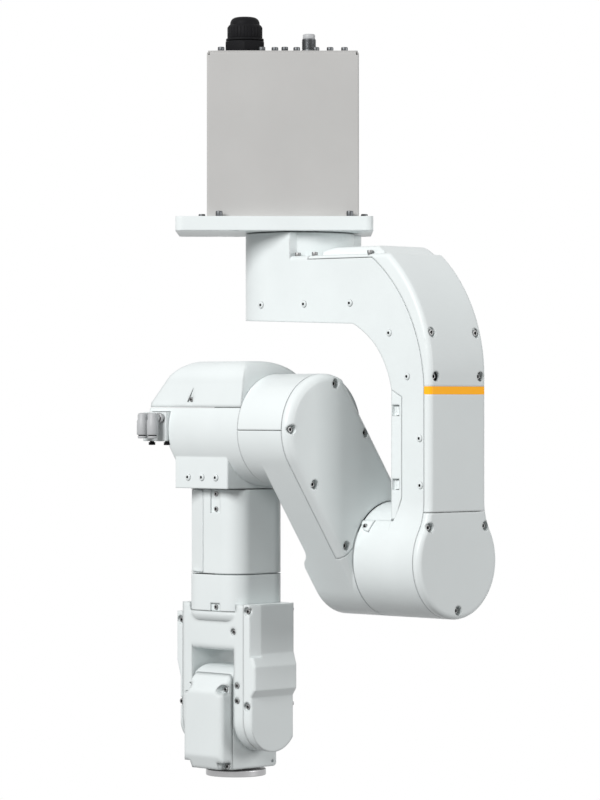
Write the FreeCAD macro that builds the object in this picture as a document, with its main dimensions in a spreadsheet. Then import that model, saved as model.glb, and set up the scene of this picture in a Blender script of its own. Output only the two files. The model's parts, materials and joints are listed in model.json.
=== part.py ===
"""Ceiling-mounted six-axis folding-arm robot, as an assembly of separate pieces.

Millimetres, +Z up. The origin is on the first axis, in the mounting face of the base plate.
Everything from the first arm outwards is drawn in the heading of the arm: x runs along the
axes of the second, third and fifth joints, y across them, and the whole is turned about Z.
"""
import FreeCAD, Part
import Sketcher
import math
import os

Vector = FreeCAD.Vector
Rotation = FreeCAD.Rotation
Placement = FreeCAD.Placement

# Driving sizes: name, value, what it is
SIZES = [
    ("arm_heading", 45.0, "turn of the arm about the first axis, degrees"),
    ("plate_length", 204.4, "base plate along X"),
    ("plate_width", 138.6, "base plate along Y"),
    ("plate_thickness", 15.0, "base plate"),
    ("plate_shift", -26.5, "middle of the base plate from the first axis along X"),
    ("plate_corner", 8.0, "rounded corners of the base plate"),
    ("plate_bore_radius", 31.5, "bore of the base plate"),
    ("mount_spacing_x", 134.0, "ceiling bolt holes along X"),
    ("mount_edge", 6.8, "ceiling bolt holes in from the long sides of the base plate"),
    ("mount_hole_radius", 3.5, "ceiling bolt holes"),
    ("box_length", 157.4, "base cover along X"),
    ("box_margin", 14.3, "base cover in from the long sides of the base plate"),
    ("box_height", 170.5, "base cover up to its bend"),
    ("box_shift", -17.7, "middle of the base cover from the first axis along X"),
    ("box_sheet", 1.5, "sheet of the base cover"),
    ("box_flange", 9.0, "folded rim at the top of the base cover"),
    ("panel_screw_inset", 8.0, "screws of the connector panel in from the sides of the base cover"),
    ("box_bend", 1.6, "bend radius of the sheet"),
    ("corner_notch", 3.0, "relief notch at each top corner"),
    ("panel_inset", 1.2, "connector panel in from the edge of the base cover"),
    ("panel_sheet", 1.5, "connector panel"),
    ("gland_plate_length", 79.0, "plate under the cable gland along X"),
    ("gland_plate_width", 64.0, "plate under the cable gland along Y"),
    ("gland_plate_sheet", 1.2, "plate under the cable gland"),
    ("gland_x", -57.7, "cable gland along X"),
    ("gland_y", -10.0, "cable gland along Y"),
    ("gland_flats", 40.0, "hexagon of the gland body across flats"),
    ("gland_body_height", 7.5, "hexagon of the gland body"),
    ("gland_collar_radius", 20.0, "collar of the gland body"),
    ("gland_collar_height", 3.5, "collar of the gland body"),
    ("gland_nut_radius", 18.5, "domed nut of the gland"),
    ("gland_nut_height", 14.5, "domed nut of the gland"),
    ("gland_bore_radius", 12.0, "bore of the gland"),
    ("gland_plug_radius", 15.5, "blanking plug of the gland"),
    ("gland_plug_height", 8.0, "blanking plug above the nut"),
    ("connector_x", 9.3, "round connector along X"),
    ("connector_y", -32.0, "round connector along Y"),
    ("connector_radius", 7.5, "round connector"),
    ("connector_height", 14.0, "round connector"),
    ("cap_radius", 6.4, "cap on the round connector"),
    ("cap_height", 5.0, "cap on the round connector"),
    ("small_head_radius", 3.5, "heads of the cap screws"),
    ("small_head_height", 4.0, "heads of the cap screws"),
    ("small_shank_radius", 2.0, "shanks of the cap screws"),
    ("side_bolt_left", 83.5, "bolts of the base plate beside its cover, left of the first axis"),
    ("side_bolt_right", 51.5, "bolts of the base plate beside its cover, right of the first axis"),
    ("end_bolt_gap", 6.6, "bolts of the base plate off the ends of its cover"),
    ("side_bolt_gap", 8.0, "bolts of the base plate off the sides of its cover"),
    ("bolt_head_radius", 3.6, "heads of the bolts on the base plate"),
    ("bolt_head_height", 5.5, "heads of the bolts on the base plate"),
    ("bolt_shank_radius", 2.5, "shanks of the bolts on the base plate"),
    ("bolt_shank_length", 10.0, "shanks of the bolts on the base plate"),
    ("seam", 0.6, "visible gap between a cover and its casting"),
    ("joint_gap", 1.0, "gap between two arms at a joint"),
    ("fit", 0.05, "radial clearance of an output hub in its reducer"),
    ("joint_radius", 57.0, "round ends of the arms at the first and third joints"),
    ("seam_bend_end", 176.0, "end of the bend of the spine seam below the base plate"),
    ("recess_inner", 173.5, "finger recesses of the cable cover from the first axis"),
    ("recess_outer", 183.0, "finger recesses of the cable cover to this far out"),
    ("barrel_radius", 58.6, "round ends of the arms at the second joint"),
    ("hub_radius", 30.0, "output hubs of the first three joints"),
    ("hub_bore", 18.0, "hollow of the output hubs"),
    ("hub_flange_radius", 42.0, "flanges of the output hubs"),
    ("hub_flange_thickness", 8.0, "flanges of the output hubs"),
    ("hub_slack", 0.5, "output hub short of the far face of its reducer"),
    ("reducer_radius", 48.0, "reducer of the first joint"),
    ("reducer_height", 28.0, "reducer of the first joint"),
    ("motor_side", 60.0, "motor of the first joint"),
    ("motor_height", 92.0, "motor of the first joint"),
    ("board_height", 90.0, "terminal board in the base"),
    ("board_width", 70.0, "terminal board in the base"),
    ("board_sheet", 1.6, "terminal board in the base"),
    ("arm1_top", -41.0, "top of the horizontal limb"),
    ("arm1_depth", 66.0, "horizontal limb at the first joint, top to bottom"),
    ("arm1_fall", 5.0, "fall of the underside over its length"),
    ("arm1_block", 38.0, "tall block at the first joint beyond its axis"),
    ("arm1_taper", 150.0, "length over which the horizontal limb narrows"),
    ("limb_half", 42.0, "half width of the vertical limb"),
    ("limb_inner", 174.0, "inner face of the vertical limb"),
    ("limb_outer", 225.0, "outer face of the vertical limb"),
    ("inner_bend_radius", 97.0, "inside bend of the arm"),
    ("outer_bend_radius", 160.0, "outside bend of the arm"),
    ("outer_bend_run", 59.0, "outside bend along the arm's x"),
    ("spine_edge", 5.0, "rounded edges of the first arm"),
    ("casting_wall", 6.0, "walls of the first arm"),
    ("seam_start", 62.0, "start of the spine cover along the arm's x"),
    ("seam_drop", 3.7, "depth of the spine cover on the front face"),
    ("seam_inset", 8.0, "depth of the spine cover at its lower end"),
    ("seam_bend_radius", 171.0, "seam of the spine cover round the bend"),
    ("seam_bend_run", 72.0, "seam of the spine cover along the arm's x"),
    ("spine_wall", 3.5, "wall of the spine cover"),
    ("hood_rise", 8.0, "raised back of the spine cover"),
    ("hood_half", 36.0, "half width of the raised back"),
    ("hood_ramp", 18.0, "ramp at the start of the raised back"),
    ("hood_end", 161.0, "end of the raised back along the arm's x"),
    ("hood_tail", 14.0, "ramp at the end of the raised back"),
    ("hood_edge", 5.0, "rounded edges of the raised back"),
    ("stripe_top", -176.0, "top of the coloured band"),
    ("stripe_height", 8.0, "coloured band"),
    ("j2_height", -351.8, "second axis below the mounting face"),
    ("j2_face", 134.7, "face of the first arm at the second joint"),
    ("flare_radius", 60.0, "blend from the limb into the second joint"),
    ("cap_top", 49.4, "top of the end cap above the second axis"),
    ("barrel_wall", 7.0, "wall of the second joint's barrel"),
    ("j2_reducer_length", 25.0, "reducer of the second joint"),
    ("j2_motor_radius", 38.0, "motor of the second joint"),
    ("j2_motor_length", 42.0, "motor of the second joint"),
    ("cable_cover_top", -179.5, "top of the cable cover"),
    ("cable_cover_depth", 12.5, "cable cover along the arm's x"),
    ("cable_cover_wall", 3.5, "cable cover"),
    ("cable_cover_taper", 9.0, "lower taper of the cable cover along the arm's x"),
    ("cable_cover_rise", 23.0, "lower taper of the cable cover"),
    ("clip_line", 40.6, "line across the barrel above the second axis"),
    ("clip_thickness", 1.6, "clip plate"),
    ("button_radius", 3.6, "button screws on the castings"),
    ("button_height", 1.6, "button screws above the face"),
    ("button_shank_radius", 2.0, "shanks of the button screws"),
    ("button_shank_length", 4.0, "shanks of the button screws"),
    ("pocket_radius", 5.0, "screw pockets in the covers"),
    ("pocket_depth", 6.0, "screw pockets in the covers"),
    ("arm2_length", 161.5, "second axis to third axis"),
    ("arm2_tilt", 35.33, "lean of the second arm, degrees"),
    ("arm2_inner", 72.0, "inner face of the second arm"),
    ("j3_face", 61.0, "inner end of the third joint's barrel"),
    ("arm2_cover_depth", 9.5, "side cover of the second arm"),
    ("arm2_edge", 8.3, "rounded rim of the second arm's side cover"),
    ("arm2_cover_line", 43.0, "lower end of the side cover above the second axis"),
    ("arm2_step", 12.0, "inner face of the second arm set back beyond the second joint"),
    ("arm2_step_line", 27.0, "start of that set-back above the second axis"),
    ("arm2_step_run", 13.0, "half length of that set-back"),
    ("flank_reach", 45.1, "bevelled flank of the second arm from its middle line"),
    ("flank_rise", 13.7, "bevelled flank of the second arm across the arm"),
    ("flank_depth", 16.0, "bevelled flank of the second arm along the arm's x"),
    ("arm2_wall", 6.0, "walls of the second arm"),
    ("end_cover_wall", 4.0, "end cover of the third joint"),
    ("j3_reducer_length", 22.0, "reducer of the third joint"),
    ("j3_motor_radius", 38.0, "motor of the third joint"),
    ("j3_motor_length", 22.0, "motor of the third joint"),
    ("elbow_left", -73.0, "far end of the elbow"),
    ("shelf_depth", 14.0, "depth of the elbow's hollow over its sloped end"),
    ("hood_seam", 22.5, "seam of the elbow hood above the third axis"),
    ("hood_top", 70.0, "top of the elbow hood above the third axis"),
    ("hood_front", 52.0, "front of the elbow hood from the third axis"),
    ("hood_lean", 3.5, "lean of the hood's front"),
    ("hood_slope_run", 24.0, "sloped end of the hood along x"),
    ("hood_slope_rise", 28.0, "sloped end of the hood"),
    ("hood_round", 22.0, "rounded front edge of the hood"),
    ("hood_ridge", 12.0, "back edge of the hood's flat top from the third axis"),
    ("hood_back_radius", 68.0, "round back of the hood"),
    ("hood_end_round", 16.0, "rounded end of the hood"),
    ("hood_wall", 3.5, "wall of the elbow hood"),
    ("block_half_x", 38.7, "half width of the elbow's lower block"),
    ("block_half_y", 50.0, "half depth of the elbow's lower block"),
    ("block_bottom", 59.9, "bottom of the elbow below the third axis"),
    ("elbow_cove", 42.0, "hollow curve under the far end of the elbow"),
    ("elbow_wall", 5.0, "walls of the elbow"),
    ("j4_motor_radius", 26.0, "motor of the fourth joint"),
    ("j4_motor_length", 62.0, "motor of the fourth joint"),
    ("j4_reducer_radius", 33.0, "reducer of the fourth joint"),
    ("j4_reducer_length", 26.0, "reducer of the fourth joint"),
    ("j4_hub_radius", 20.0, "output hub of the fourth joint"),
    ("fitting_spacing", 15.2, "air fittings"),
    ("fitting_radius", 6.0, "air fittings"),
    ("fitting_length", 20.0, "air fittings, collar to elbow"),
    ("fitting_reach", 16.0, "air fittings out from their block"),
    ("fitting_block_length", 35.0, "block of the air fittings along x"),
    ("fitting_block_height", 30.0, "block of the air fittings"),
    ("fitting_block_depth", 9.0, "block of the air fittings proud of the elbow"),
    ("fitting_plug_radius", 3.3, "plugs under the block of the air fittings"),
    ("fitting_plug_height", 4.0, "plugs under the block of the air fittings"),
    ("forearm_half", 38.7, "half width of the forearm"),
    ("forearm_corner", 21.0, "rounded corners of the forearm"),
    ("forearm_wall", 4.0, "walls of the forearm"),
    ("forearm_length", 86.0, "forearm tube"),
    ("ring_height", 38.5, "ring under the forearm tube"),
    ("plate_cover_start", -9.4, "edge of the forearm's flat cover along x"),
    ("plate_cover_reach", 27.2, "forearm's flat cover along x"),
    ("plate_cover_back", 9.9, "forearm's flat cover along y"),
    ("plate_cover_thickness", 3.0, "forearm's flat cover"),
    ("wrist_drop", 295.4, "third axis to fifth axis"),
    ("fork_half", 31.0, "half depth of the wrist fork"),
    ("fork_gap", 30.0, "half width between the fork's cheeks"),
    ("lip_drop", 8.0, "front lip below the top of the fork"),
    ("cheek_wall", 10.0, "cheeks of the fork"),
    ("fork_swing", 76.0, "hollow of the fork round the fifth axis"),
    ("cover_edge", 2.5, "rounded edges of the fork covers"),
    ("cover_wall", 3.0, "walls of the fork covers"),
    ("left_cover_drop", 10.0, "left cover below the top of the fork"),
    ("fork_cover_gap", 0.2, "gap between the fork and its covers"),
    ("cover_bevel", 6.0, "bevel at the back of the fork's covers"),
    ("fork_lower_reach", 56.0, "right cover of the fork, round its lower end"),
    ("fork_bulge_reach", 61.0, "right cover of the fork, over its raised middle"),
    ("fork_upper_reach", 57.0, "right cover of the fork, over its upper part"),
    ("fork_left_lower", 49.5, "left cover of the fork, round its lower end"),
    ("fork_left_upper", 54.5, "left cover of the fork, over its upper part"),
    ("j5_motor_radius", 15.0, "motor of the fifth joint"),
    ("j5_motor_level", 94.0, "motor of the fifth joint above its axis"),
    ("j5_reducer_radius", 25.0, "reducer of the fifth joint"),
    ("j5_reducer_length", 14.0, "reducer of the fifth joint"),
    ("j5_hub_radius", 12.0, "hubs of the fifth joint"),
    ("wrist_half", 29.2, "half width of the wrist"),
    ("wrist_front", 49.0, "front of the wrist from the fifth axis"),
    ("wrist_back", 31.6, "back of the wrist from the fifth axis"),
    ("wrist_bottom", 53.0, "bottom of the wrist below the fifth axis"),
    ("wrist_split", 31.5, "front cover of the wrist, from the fifth axis"),
    ("wrist_edge", 5.0, "rounded edges of the wrist's front cover"),
    ("wrist_wall", 3.5, "walls of the wrist"),
    ("j6_motor_radius", 17.0, "motor of the sixth joint"),
    ("j6_motor_length", 34.0, "motor of the sixth joint"),
    ("j6_reducer_radius", 24.0, "reducer of the sixth joint"),
    ("j6_reducer_length", 16.0, "reducer of the sixth joint"),
    ("flange_radius", 30.5, "tool flange"),
    ("flange_height", 6.7, "tool flange"),
    ("flange_edge", 1.0, "rounded rim of the tool flange"),
    ("tool_circle", 31.5, "bolt circle of the tool flange"),
    ("tool_hole_radius", 2.5, "tool bolt holes"),
    ("tool_hole_depth", 5.5, "tool bolt holes"),
    ("tool_bore_radius", 10.0, "centring bore of the tool flange"),
    ("tool_bore_depth", 4.5, "centring bore of the tool flange"),
    ("tool_pin_reach", 23.0, "locating pin hole from the flange's axis"),
    ("tool_pin_radius", 2.5, "locating pin hole of the tool flange"),
    ("flange_hub_radius", 12.0, "hub of the tool flange"),
]

doc = FreeCAD.newDocument("folding_arm_robot")
sheet = doc.addObject("Spreadsheet::Sheet", "Sizes")


class Size:
    """A length, with the sheet formula that gives it."""

    def __init__(self, formula, value):
        self.formula = formula
        self.value = value

    @staticmethod
    def of(thing):
        if isinstance(thing, Size):
            return thing
        return Size(f"({thing})", float(thing))

    def joined(self, sign, other, value):
        return Size(f"({self.formula} {sign} {Size.of(other).formula})", value)

    def __add__(self, other):
        return self.joined("+", other, self.value + Size.of(other).value)

    def __sub__(self, other):
        return self.joined("-", other, self.value - Size.of(other).value)

    def __mul__(self, other):
        return self.joined("*", other, self.value * Size.of(other).value)

    def __truediv__(self, other):
        return self.joined("/", other, self.value / Size.of(other).value)

    def __radd__(self, other):
        return Size.of(other) + self

    def __rsub__(self, other):
        return Size.of(other) - self

    def __rmul__(self, other):
        return Size.of(other) * self

    def __neg__(self):
        return Size(f"(0 - {self.formula})", -self.value)


def root(square):
    return Size(f"sqrt({square.formula})", math.sqrt(square.value))


def cosine(angle):
    return Size(f"cos({angle.formula})", math.cos(math.radians(angle.value)))


def sine(angle):
    return Size(f"sin({angle.formula})", math.sin(math.radians(angle.value)))


class Sheet:
    """The driving sizes by name."""


s = Sheet()
for row, (alias, value, meaning) in enumerate(SIZES, 1):
    sheet.set(f"A{row}", meaning)
    sheet.set(f"B{row}", str(value))
    sheet.setAlias(f"B{row}", alias)
    setattr(s, alias, Size(f"Sizes.{alias}", value))
doc.recompute()

PIECES = []


def bind(thing, name, size):
    """Give a property its size, tied to the sheet."""
    if isinstance(size, Size):
        thing.setExpression(name, size.formula)


def put(thing, x, y, z):
    """Place a primitive, with each coordinate tied to the sheet."""
    spot = [Size.of(v) for v in (x, y, z)]
    thing.Placement.Base = Vector(*[v.value for v in spot])
    for letter, size in zip("xyz", spot):
        bind(thing, f"Placement.Base.{letter}", size)
    return thing


def block(x, y, z, low=None):
    """A box between pairs of coordinates."""
    thing = doc.addObject("Part::Box", "block")
    for name, (start, end) in zip(("Length", "Width", "Height"), (x, y, z)):
        span = Size.of(end) - Size.of(start)
        setattr(thing, name, span.value)
        bind(thing, name, span)
    return put(thing, x[0], y[0], z[0])


AXES = {
    "x": Rotation(Vector(0, 1, 0), 90),
    "y": Rotation(Vector(1, 0, 0), -90),
    "z": Rotation(),
}


def rod(radius, along, start, end, at=(0, 0)):
    """A cylinder along one axis; at gives its two other coordinates in x, y, z order."""
    thing = doc.addObject("Part::Cylinder", "rod")
    radius = Size.of(radius)
    span = Size.of(end) - Size.of(start)
    thing.Radius = radius.value
    thing.Height = span.value
    bind(thing, "Radius", radius)
    bind(thing, "Height", span)
    thing.Placement.Rotation = AXES[along]
    spot = list(at)
    spot.insert("xyz".index(along), start)
    return put(thing, *spot)


def hexagon(across, along, start, end, at=(0, 0)):
    """A six-sided prism along one axis."""
    thing = doc.addObject("Part::Prism", "hexagon")
    thing.Polygon = 6
    corner = Size.of(across) / (2 * math.cos(math.radians(30)))
    span = Size.of(end) - Size.of(start)
    thing.Circumradius = corner.value
    thing.Height = span.value
    bind(thing, "Circumradius", corner)
    bind(thing, "Height", span)
    thing.Placement.Rotation = AXES[along]
    spot = list(at)
    spot.insert("xyz".index(along), start)
    return put(thing, *spot)


def cut(base, *tools):
    """The base with each tool taken out of it."""
    thing = doc.addObject("Part::Cut", "cut")
    thing.Base = base
    thing.Tool = tools[0] if len(tools) == 1 else fuse(*tools)
    thing.Refine = True
    return thing


def fuse(*parts):
    thing = doc.addObject("Part::MultiFuse", "fuse")
    thing.Shapes = list(parts)
    thing.Refine = True
    return thing


def common(*parts):
    thing = doc.addObject("Part::MultiCommon", "common")
    thing.Shapes = list(parts)
    thing.Refine = True
    return thing


def bundle(*parts):
    """Separate solids that share one node."""
    thing = doc.addObject("Part::Compound", "bundle")
    thing.Links = list(parts)
    return thing


def rounded(base, radius, chosen):
    """Round the edges that the test chooses, by their middle point and tangent."""
    doc.recompute()
    edges = []
    for number, edge in enumerate(base.Shape.Edges, 1):
        if edge.Length < 0.01:
            continue
        middle = edge.valueAt(0.5 * (edge.FirstParameter + edge.LastParameter))
        tangent = edge.tangentAt(0.5 * (edge.FirstParameter + edge.LastParameter))
        if chosen(middle, tangent, edge):
            edges.append((number, radius.value, radius.value))
    thing = doc.addObject("Part::Fillet", "rounded")
    thing.Base = base
    thing.Edges = edges
    return thing


PLANES = {"xy": "XY_Plane", "xz": "XZ_Plane", "yz": "YZ_Plane"}


def bend_centre(start, end, radius, side):
    """Centre of an arc between two points, on the left or right of the way from start to end."""
    half = (end - start) / 2
    rise = math.sqrt(max(radius**2 - half.Length**2, 0))
    left = Vector(-half.y, half.x, 0).normalize()
    return start + half + left * (rise if side == "left" else -rise)


def slab(plane, corners, low, high):
    """A pad between two heights over an outline; a corner may bend towards the next one.

    Each corner is (u, v) or (u, v, radius, side): the arc's centre is on that side.
    """
    body = doc.addObject("PartDesign::Body", "slab")
    origin = [f for f in body.Origin.OriginFeatures if f.Role == PLANES[plane]][0]
    sketch = body.newObject("Sketcher::SketchObject", "outline")
    sketch.AttachmentSupport = [(origin, "")]
    sketch.MapMode = "FlatFace"
    span = Size.of(high) - Size.of(low)
    level = -Size.of(high) if plane == "xz" else Size.of(low)
    sketch.AttachmentOffset.Base.z = level.value
    bind(sketch, "AttachmentOffset.Base.z", level)
    count = len(corners)
    spots = [Vector(Size.of(c[0]).value, Size.of(c[1]).value, 0) for c in corners]
    ends = []
    for here, corner in enumerate(corners):
        start, end = spots[here], spots[(here + 1) % count]
        if len(corner) == 2:
            sketch.addGeometry(Part.LineSegment(start, end))
            ends.append((1, 2))
            continue
        radius, side = Size.of(corner[2]).value, corner[3]
        centre = bend_centre(start, end, radius, side)
        angles = [math.atan2(p.y - centre.y, p.x - centre.x) for p in (start, end)]
        if side == "right":
            angles.reverse()
        circle = Part.Circle(centre, Vector(0, 0, 1), radius)
        sketch.addGeometry(Part.ArcOfCircle(circle, *angles))
        ends.append((1, 2) if side == "left" else (2, 1))
    Constraint = Sketcher.Constraint
    for here, corner in enumerate(corners):
        after = (here + 1) % count
        sketch.addConstraint(Constraint("Coincident", here, ends[here][1], after, ends[after][0]))
        for kind, size in (("DistanceX", corner[0]), ("DistanceY", corner[1])):
            size = Size.of(size)
            number = sketch.addConstraint(
                Constraint(kind, -1, 1, here, ends[here][0], size.value)
            )
            bind(sketch, f"Constraints[{number}]", size)
        if len(corner) > 2:
            radius = Size.of(corner[2])
            number = sketch.addConstraint(Constraint("Radius", here, radius.value))
            bind(sketch, f"Constraints[{number}]", radius)
    pad = body.newObject("PartDesign::Pad", "pad")
    pad.Profile = sketch
    pad.Length = span.value
    bind(pad, "Length", span)
    return body


def piece(label, thing, frame=None):
    """Name a finished sub-part and put it in its place."""
    thing.Label = label
    if frame is not None:
        thing.Placement = frame
    PIECES.append(thing)
    return thing


def screw(radius, height, shank, depth, along, seat, way, at, socket=True):
    """A cap screw on a seat, pointing out along way; gives the screw and its hole."""
    seat = Size.of(seat)
    top, low = seat + way * height, seat - way * depth
    sides = [(seat, top), (low, seat)]
    if way < 0:
        sides = [(b, a) for a, b in sides]
    head = rod(radius, along, *sides[0], at=at)
    stem = rod(shank, along, *sides[1], at=at)
    hole = fuse(head, stem)
    if not socket:
        return hole, hole
    inner = top - way * height * 0.55
    mouth = (inner, top) if way > 0 else (top, inner)
    return cut(hole, hexagon(radius * 0.9, along, *mouth, at=at)), hole


HEADING = Rotation(Vector(0, 0, 1), -s.arm_heading.value)
ARM1 = Placement(Vector(), HEADING)
ARM2 = ARM1 * Placement(Vector(0, 0, s.j2_height.value), Rotation(Vector(1, 0, 0), s.arm2_tilt.value))
j3_y = -(s.arm2_length * sine(s.arm2_tilt))
j3_z = s.j2_height + s.arm2_length * cosine(s.arm2_tilt)
ELBOW = ARM1 * Placement(Vector(0, j3_y.value, j3_z.value), Rotation())
WRIST = ELBOW * Placement(Vector(0, 0, -s.wrist_drop.value), Rotation())


SCREW_GROUPS = {}


def screws(label, sites, frame, radius=None, height=None, shank=None, depth=6.0, socket=True):
    """Cap screws for one node; each site is (along, seat, way, at). Gives the holes to cut."""
    radius = radius or s.small_head_radius
    height = height or s.small_head_height
    shank = shank or s.small_shank_radius
    heads, holes = [], []
    for along, seat, way, at in sites:
        made, hole = screw(radius, height, shank, depth, along, seat, way, at, socket)
        heads.append(made)
        holes.append(hole)
    group = bundle(*heads)
    if frame is not None:
        group.Placement = frame
    SCREW_GROUPS.setdefault(label, []).append(group)
    return holes


def box_outline(x, y, radius):
    """A rectangle with rounded corners."""
    (left, right), (front, back) = x, y
    return [
        (left + radius, front),
        (right - radius, front, radius, "left"),
        (right, front + radius),
        (right, back - radius, radius, "left"),
        (right - radius, back),
        (left + radius, back, radius, "left"),
        (left, back - radius),
        (left, front + radius, radius, "left"),
    ]


# Base plate and its bolts
plate_x = (s.plate_shift - s.plate_length / 2, s.plate_shift + s.plate_length / 2)
plate_y = (-s.plate_width / 2, s.plate_width / 2)
plate_blank = slab("xy", box_outline(plate_x, plate_y, s.plate_corner), -s.plate_thickness, 0)
plate_holes = [rod(s.plate_bore_radius, "z", -s.plate_thickness, 0)]
for x_side in (-1, 1):
    for y_side in (-1, 1):
        at = (x_side * s.mount_spacing_x / 2, y_side * (s.plate_width / 2 - s.mount_edge))
        plate_holes.append(rod(s.mount_hole_radius, "z", -s.plate_thickness, 0, at))
box_x = (s.box_shift - s.box_length / 2, s.box_shift + s.box_length / 2)
box_half = s.plate_width / 2 - s.box_margin
box_y = (-box_half, box_half)
bolt_y = box_half + s.side_bolt_gap
bolt_sites = [(x, way * bolt_y) for x in (-s.side_bolt_left, s.side_bolt_right) for way in (-1, 1)]
bolt_sites += [(box_x[0] - s.end_bolt_gap, 0), (box_x[1] + s.end_bolt_gap, 0)]
plate_holes += screws(
    "plate_bolts",
    [("z", 0, 1, at) for at in bolt_sites],
    None,
    s.bolt_head_radius,
    s.bolt_head_height,
    s.bolt_shank_radius,
    s.bolt_shank_length,
)
piece("base_plate", cut(plate_blank, *plate_holes))

# Base cover, a folded sheet box with a rim, and the panel on it


def inset(span, amount):
    return (span[0] + amount, span[1] - amount)


panel_low = s.box_height
panel_top = panel_low + s.panel_sheet
box_blank = rounded(
    block(box_x, box_y, (0, s.box_height)),
    s.box_bend,
    lambda middle, tangent, edge: middle.z > 1,
)
rim_low = s.box_height - s.box_sheet
wire_hole = block(inset(box_x, s.box_flange), inset(box_y, s.box_flange), (rim_low, s.box_height))
hollow = block(inset(box_x, s.box_sheet), inset(box_y, s.box_sheet), (0, rim_low))
notches = []
for x, x_way in ((box_x[0], 1), (box_x[1], -1)):
    for y, y_way in ((box_y[0], 1), (box_y[1], -1)):
        x_span = sorted((x, x + x_way * s.corner_notch), key=lambda size: size.value)
        y_span = sorted((y, y + y_way * s.corner_notch), key=lambda size: size.value)
        notches.append(block(x_span, y_span, (s.box_height - s.corner_notch, s.box_height)))
panel_screw_y = box_half - s.panel_screw_inset
panel_screw_sites = [(x, -panel_screw_y) for x in (-26, -3.4, 16.6, 31.2, 46.1)]
panel_screw_sites += [(x, panel_screw_y) for x in (-26, 16.6, 46.1)]
gland_screw_sites = [(-82, -38), (-39.5, -38), (-15.8, -38), (-82, 18), (-15.8, 18)]
gland_top = panel_top + s.gland_plate_sheet
panel_holes = screws("panel_screws", [("z", panel_top, 1, at) for at in panel_screw_sites], None)
gland_holes = screws("panel_screws", [("z", gland_top, 1, at) for at in gland_screw_sites], None)
piece("base_cover", cut(box_blank, hollow, wire_hole, *notches, *panel_holes))
gland_at = (s.gland_x, s.gland_y)
connector_at = (s.connector_x, s.connector_y)
panel_blank = slab(
    "xy",
    box_outline(inset(box_x, s.panel_inset), inset(box_y, s.panel_inset), s.corner_notch),
    panel_low,
    panel_top,
)
piece(
    "connector_panel",
    cut(
        panel_blank,
        rod(s.gland_bore_radius, "z", panel_low, panel_top, gland_at),
        rod(s.cap_radius, "z", panel_low, panel_top, connector_at),
        *panel_holes,
        *gland_holes,
    ),
)
gland_plate_x = (-88, -88 + s.gland_plate_length)
gland_plate_y = (s.gland_y - s.gland_plate_width / 2, s.gland_y + s.gland_plate_width / 2)
gland_bore = rod(s.gland_bore_radius, "z", panel_low, gland_top + 60, gland_at)
piece(
    "gland_plate",
    cut(block(gland_plate_x, gland_plate_y, (panel_top, gland_top)), gland_bore, *gland_holes),
)

# Cable gland: hexagonal body with its collar, ribbed domed nut, blanking plug
flats_top = gland_top + s.gland_body_height
collar_top = flats_top + s.gland_collar_height
nut_top = collar_top + s.gland_nut_height
gland_body = fuse(
    hexagon(s.gland_flats, "z", gland_top, flats_top, gland_at),
    rod(s.gland_collar_radius, "z", flats_top, collar_top, gland_at),
)
piece("cable_gland_body", cut(gland_body, gland_bore))
nut = rounded(
    rod(s.gland_nut_radius, "z", collar_top, nut_top, gland_at),
    s.gland_nut_radius / 5,
    lambda middle, tangent, edge: middle.z > nut_top.value - 0.1,
)
ribs = []
for turn in range(6):
    angle = math.radians(60 * turn)
    rib_at = [centre + 19.4 * way for centre, way in zip(gland_at, (math.cos(angle), math.sin(angle)))]
    ribs.append(rod(2.4, "z", collar_top, nut_top, rib_at))
piece("cable_gland_nut", cut(nut, gland_bore, *ribs))
plug_foot = rod(s.gland_bore_radius, "z", collar_top, nut_top, gland_at)
plug_head = rounded(
    rod(s.gland_plug_radius, "z", nut_top, nut_top + s.gland_plug_height, gland_at),
    s.gland_plug_height / 2,
    lambda middle, tangent, edge: middle.z > nut_top.value + 0.1,
)
piece("cable_gland_plug", fuse(plug_foot, plug_head))

# Round connector and its cap
connector_top = panel_top + s.connector_height
thread = [rod(s.connector_radius, "z", panel_top, connector_top, connector_at)]
grooves = []
for turn in range(4):
    low = panel_top + 3 + 2.6 * turn
    band = rod(s.connector_radius, "z", low, low + 1.2, connector_at)
    core = rod(s.connector_radius - 0.7, "z", low, low + 1.2, connector_at)
    grooves.append(cut(band, core))
connector_foot = rod(s.cap_radius, "z", panel_low, panel_top, connector_at)
piece("signal_connector", cut(fuse(thread[0], connector_foot), *grooves))
cap = rod(s.cap_radius, "z", connector_top, connector_top + s.cap_height, connector_at)
piece("connector_cap", rounded(cap, Size.of(1.2), lambda m, t, e: m.z > connector_top.value + 1))

# First joint drive and the terminal board, inside the base cover
bearing_radius = s.hub_radius + s.fit
piece(
    "j1_reducer",
    cut(
        rod(s.reducer_radius, "z", 0, s.reducer_height),
        rod(bearing_radius, "z", 0, s.reducer_height),
    ),
)
motor_half = s.motor_side / 2
motor_top = s.reducer_height + s.motor_height
piece("j1_motor", block((-motor_half, motor_half), (-motor_half, motor_half), (s.reducer_height, motor_top)))
board = [block((-60, -60 + s.board_width), (42, 42 + s.board_sheet), (30, 30 + s.board_height))]
board.append(block((-60, -46), (42, 46), (0, 34)))
for turn in range(4):
    board.append(block((-56 + 16 * turn, -44 + 16 * turn), (33, 42), (40, 52)))
piece("terminal_board", fuse(*board))

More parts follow.
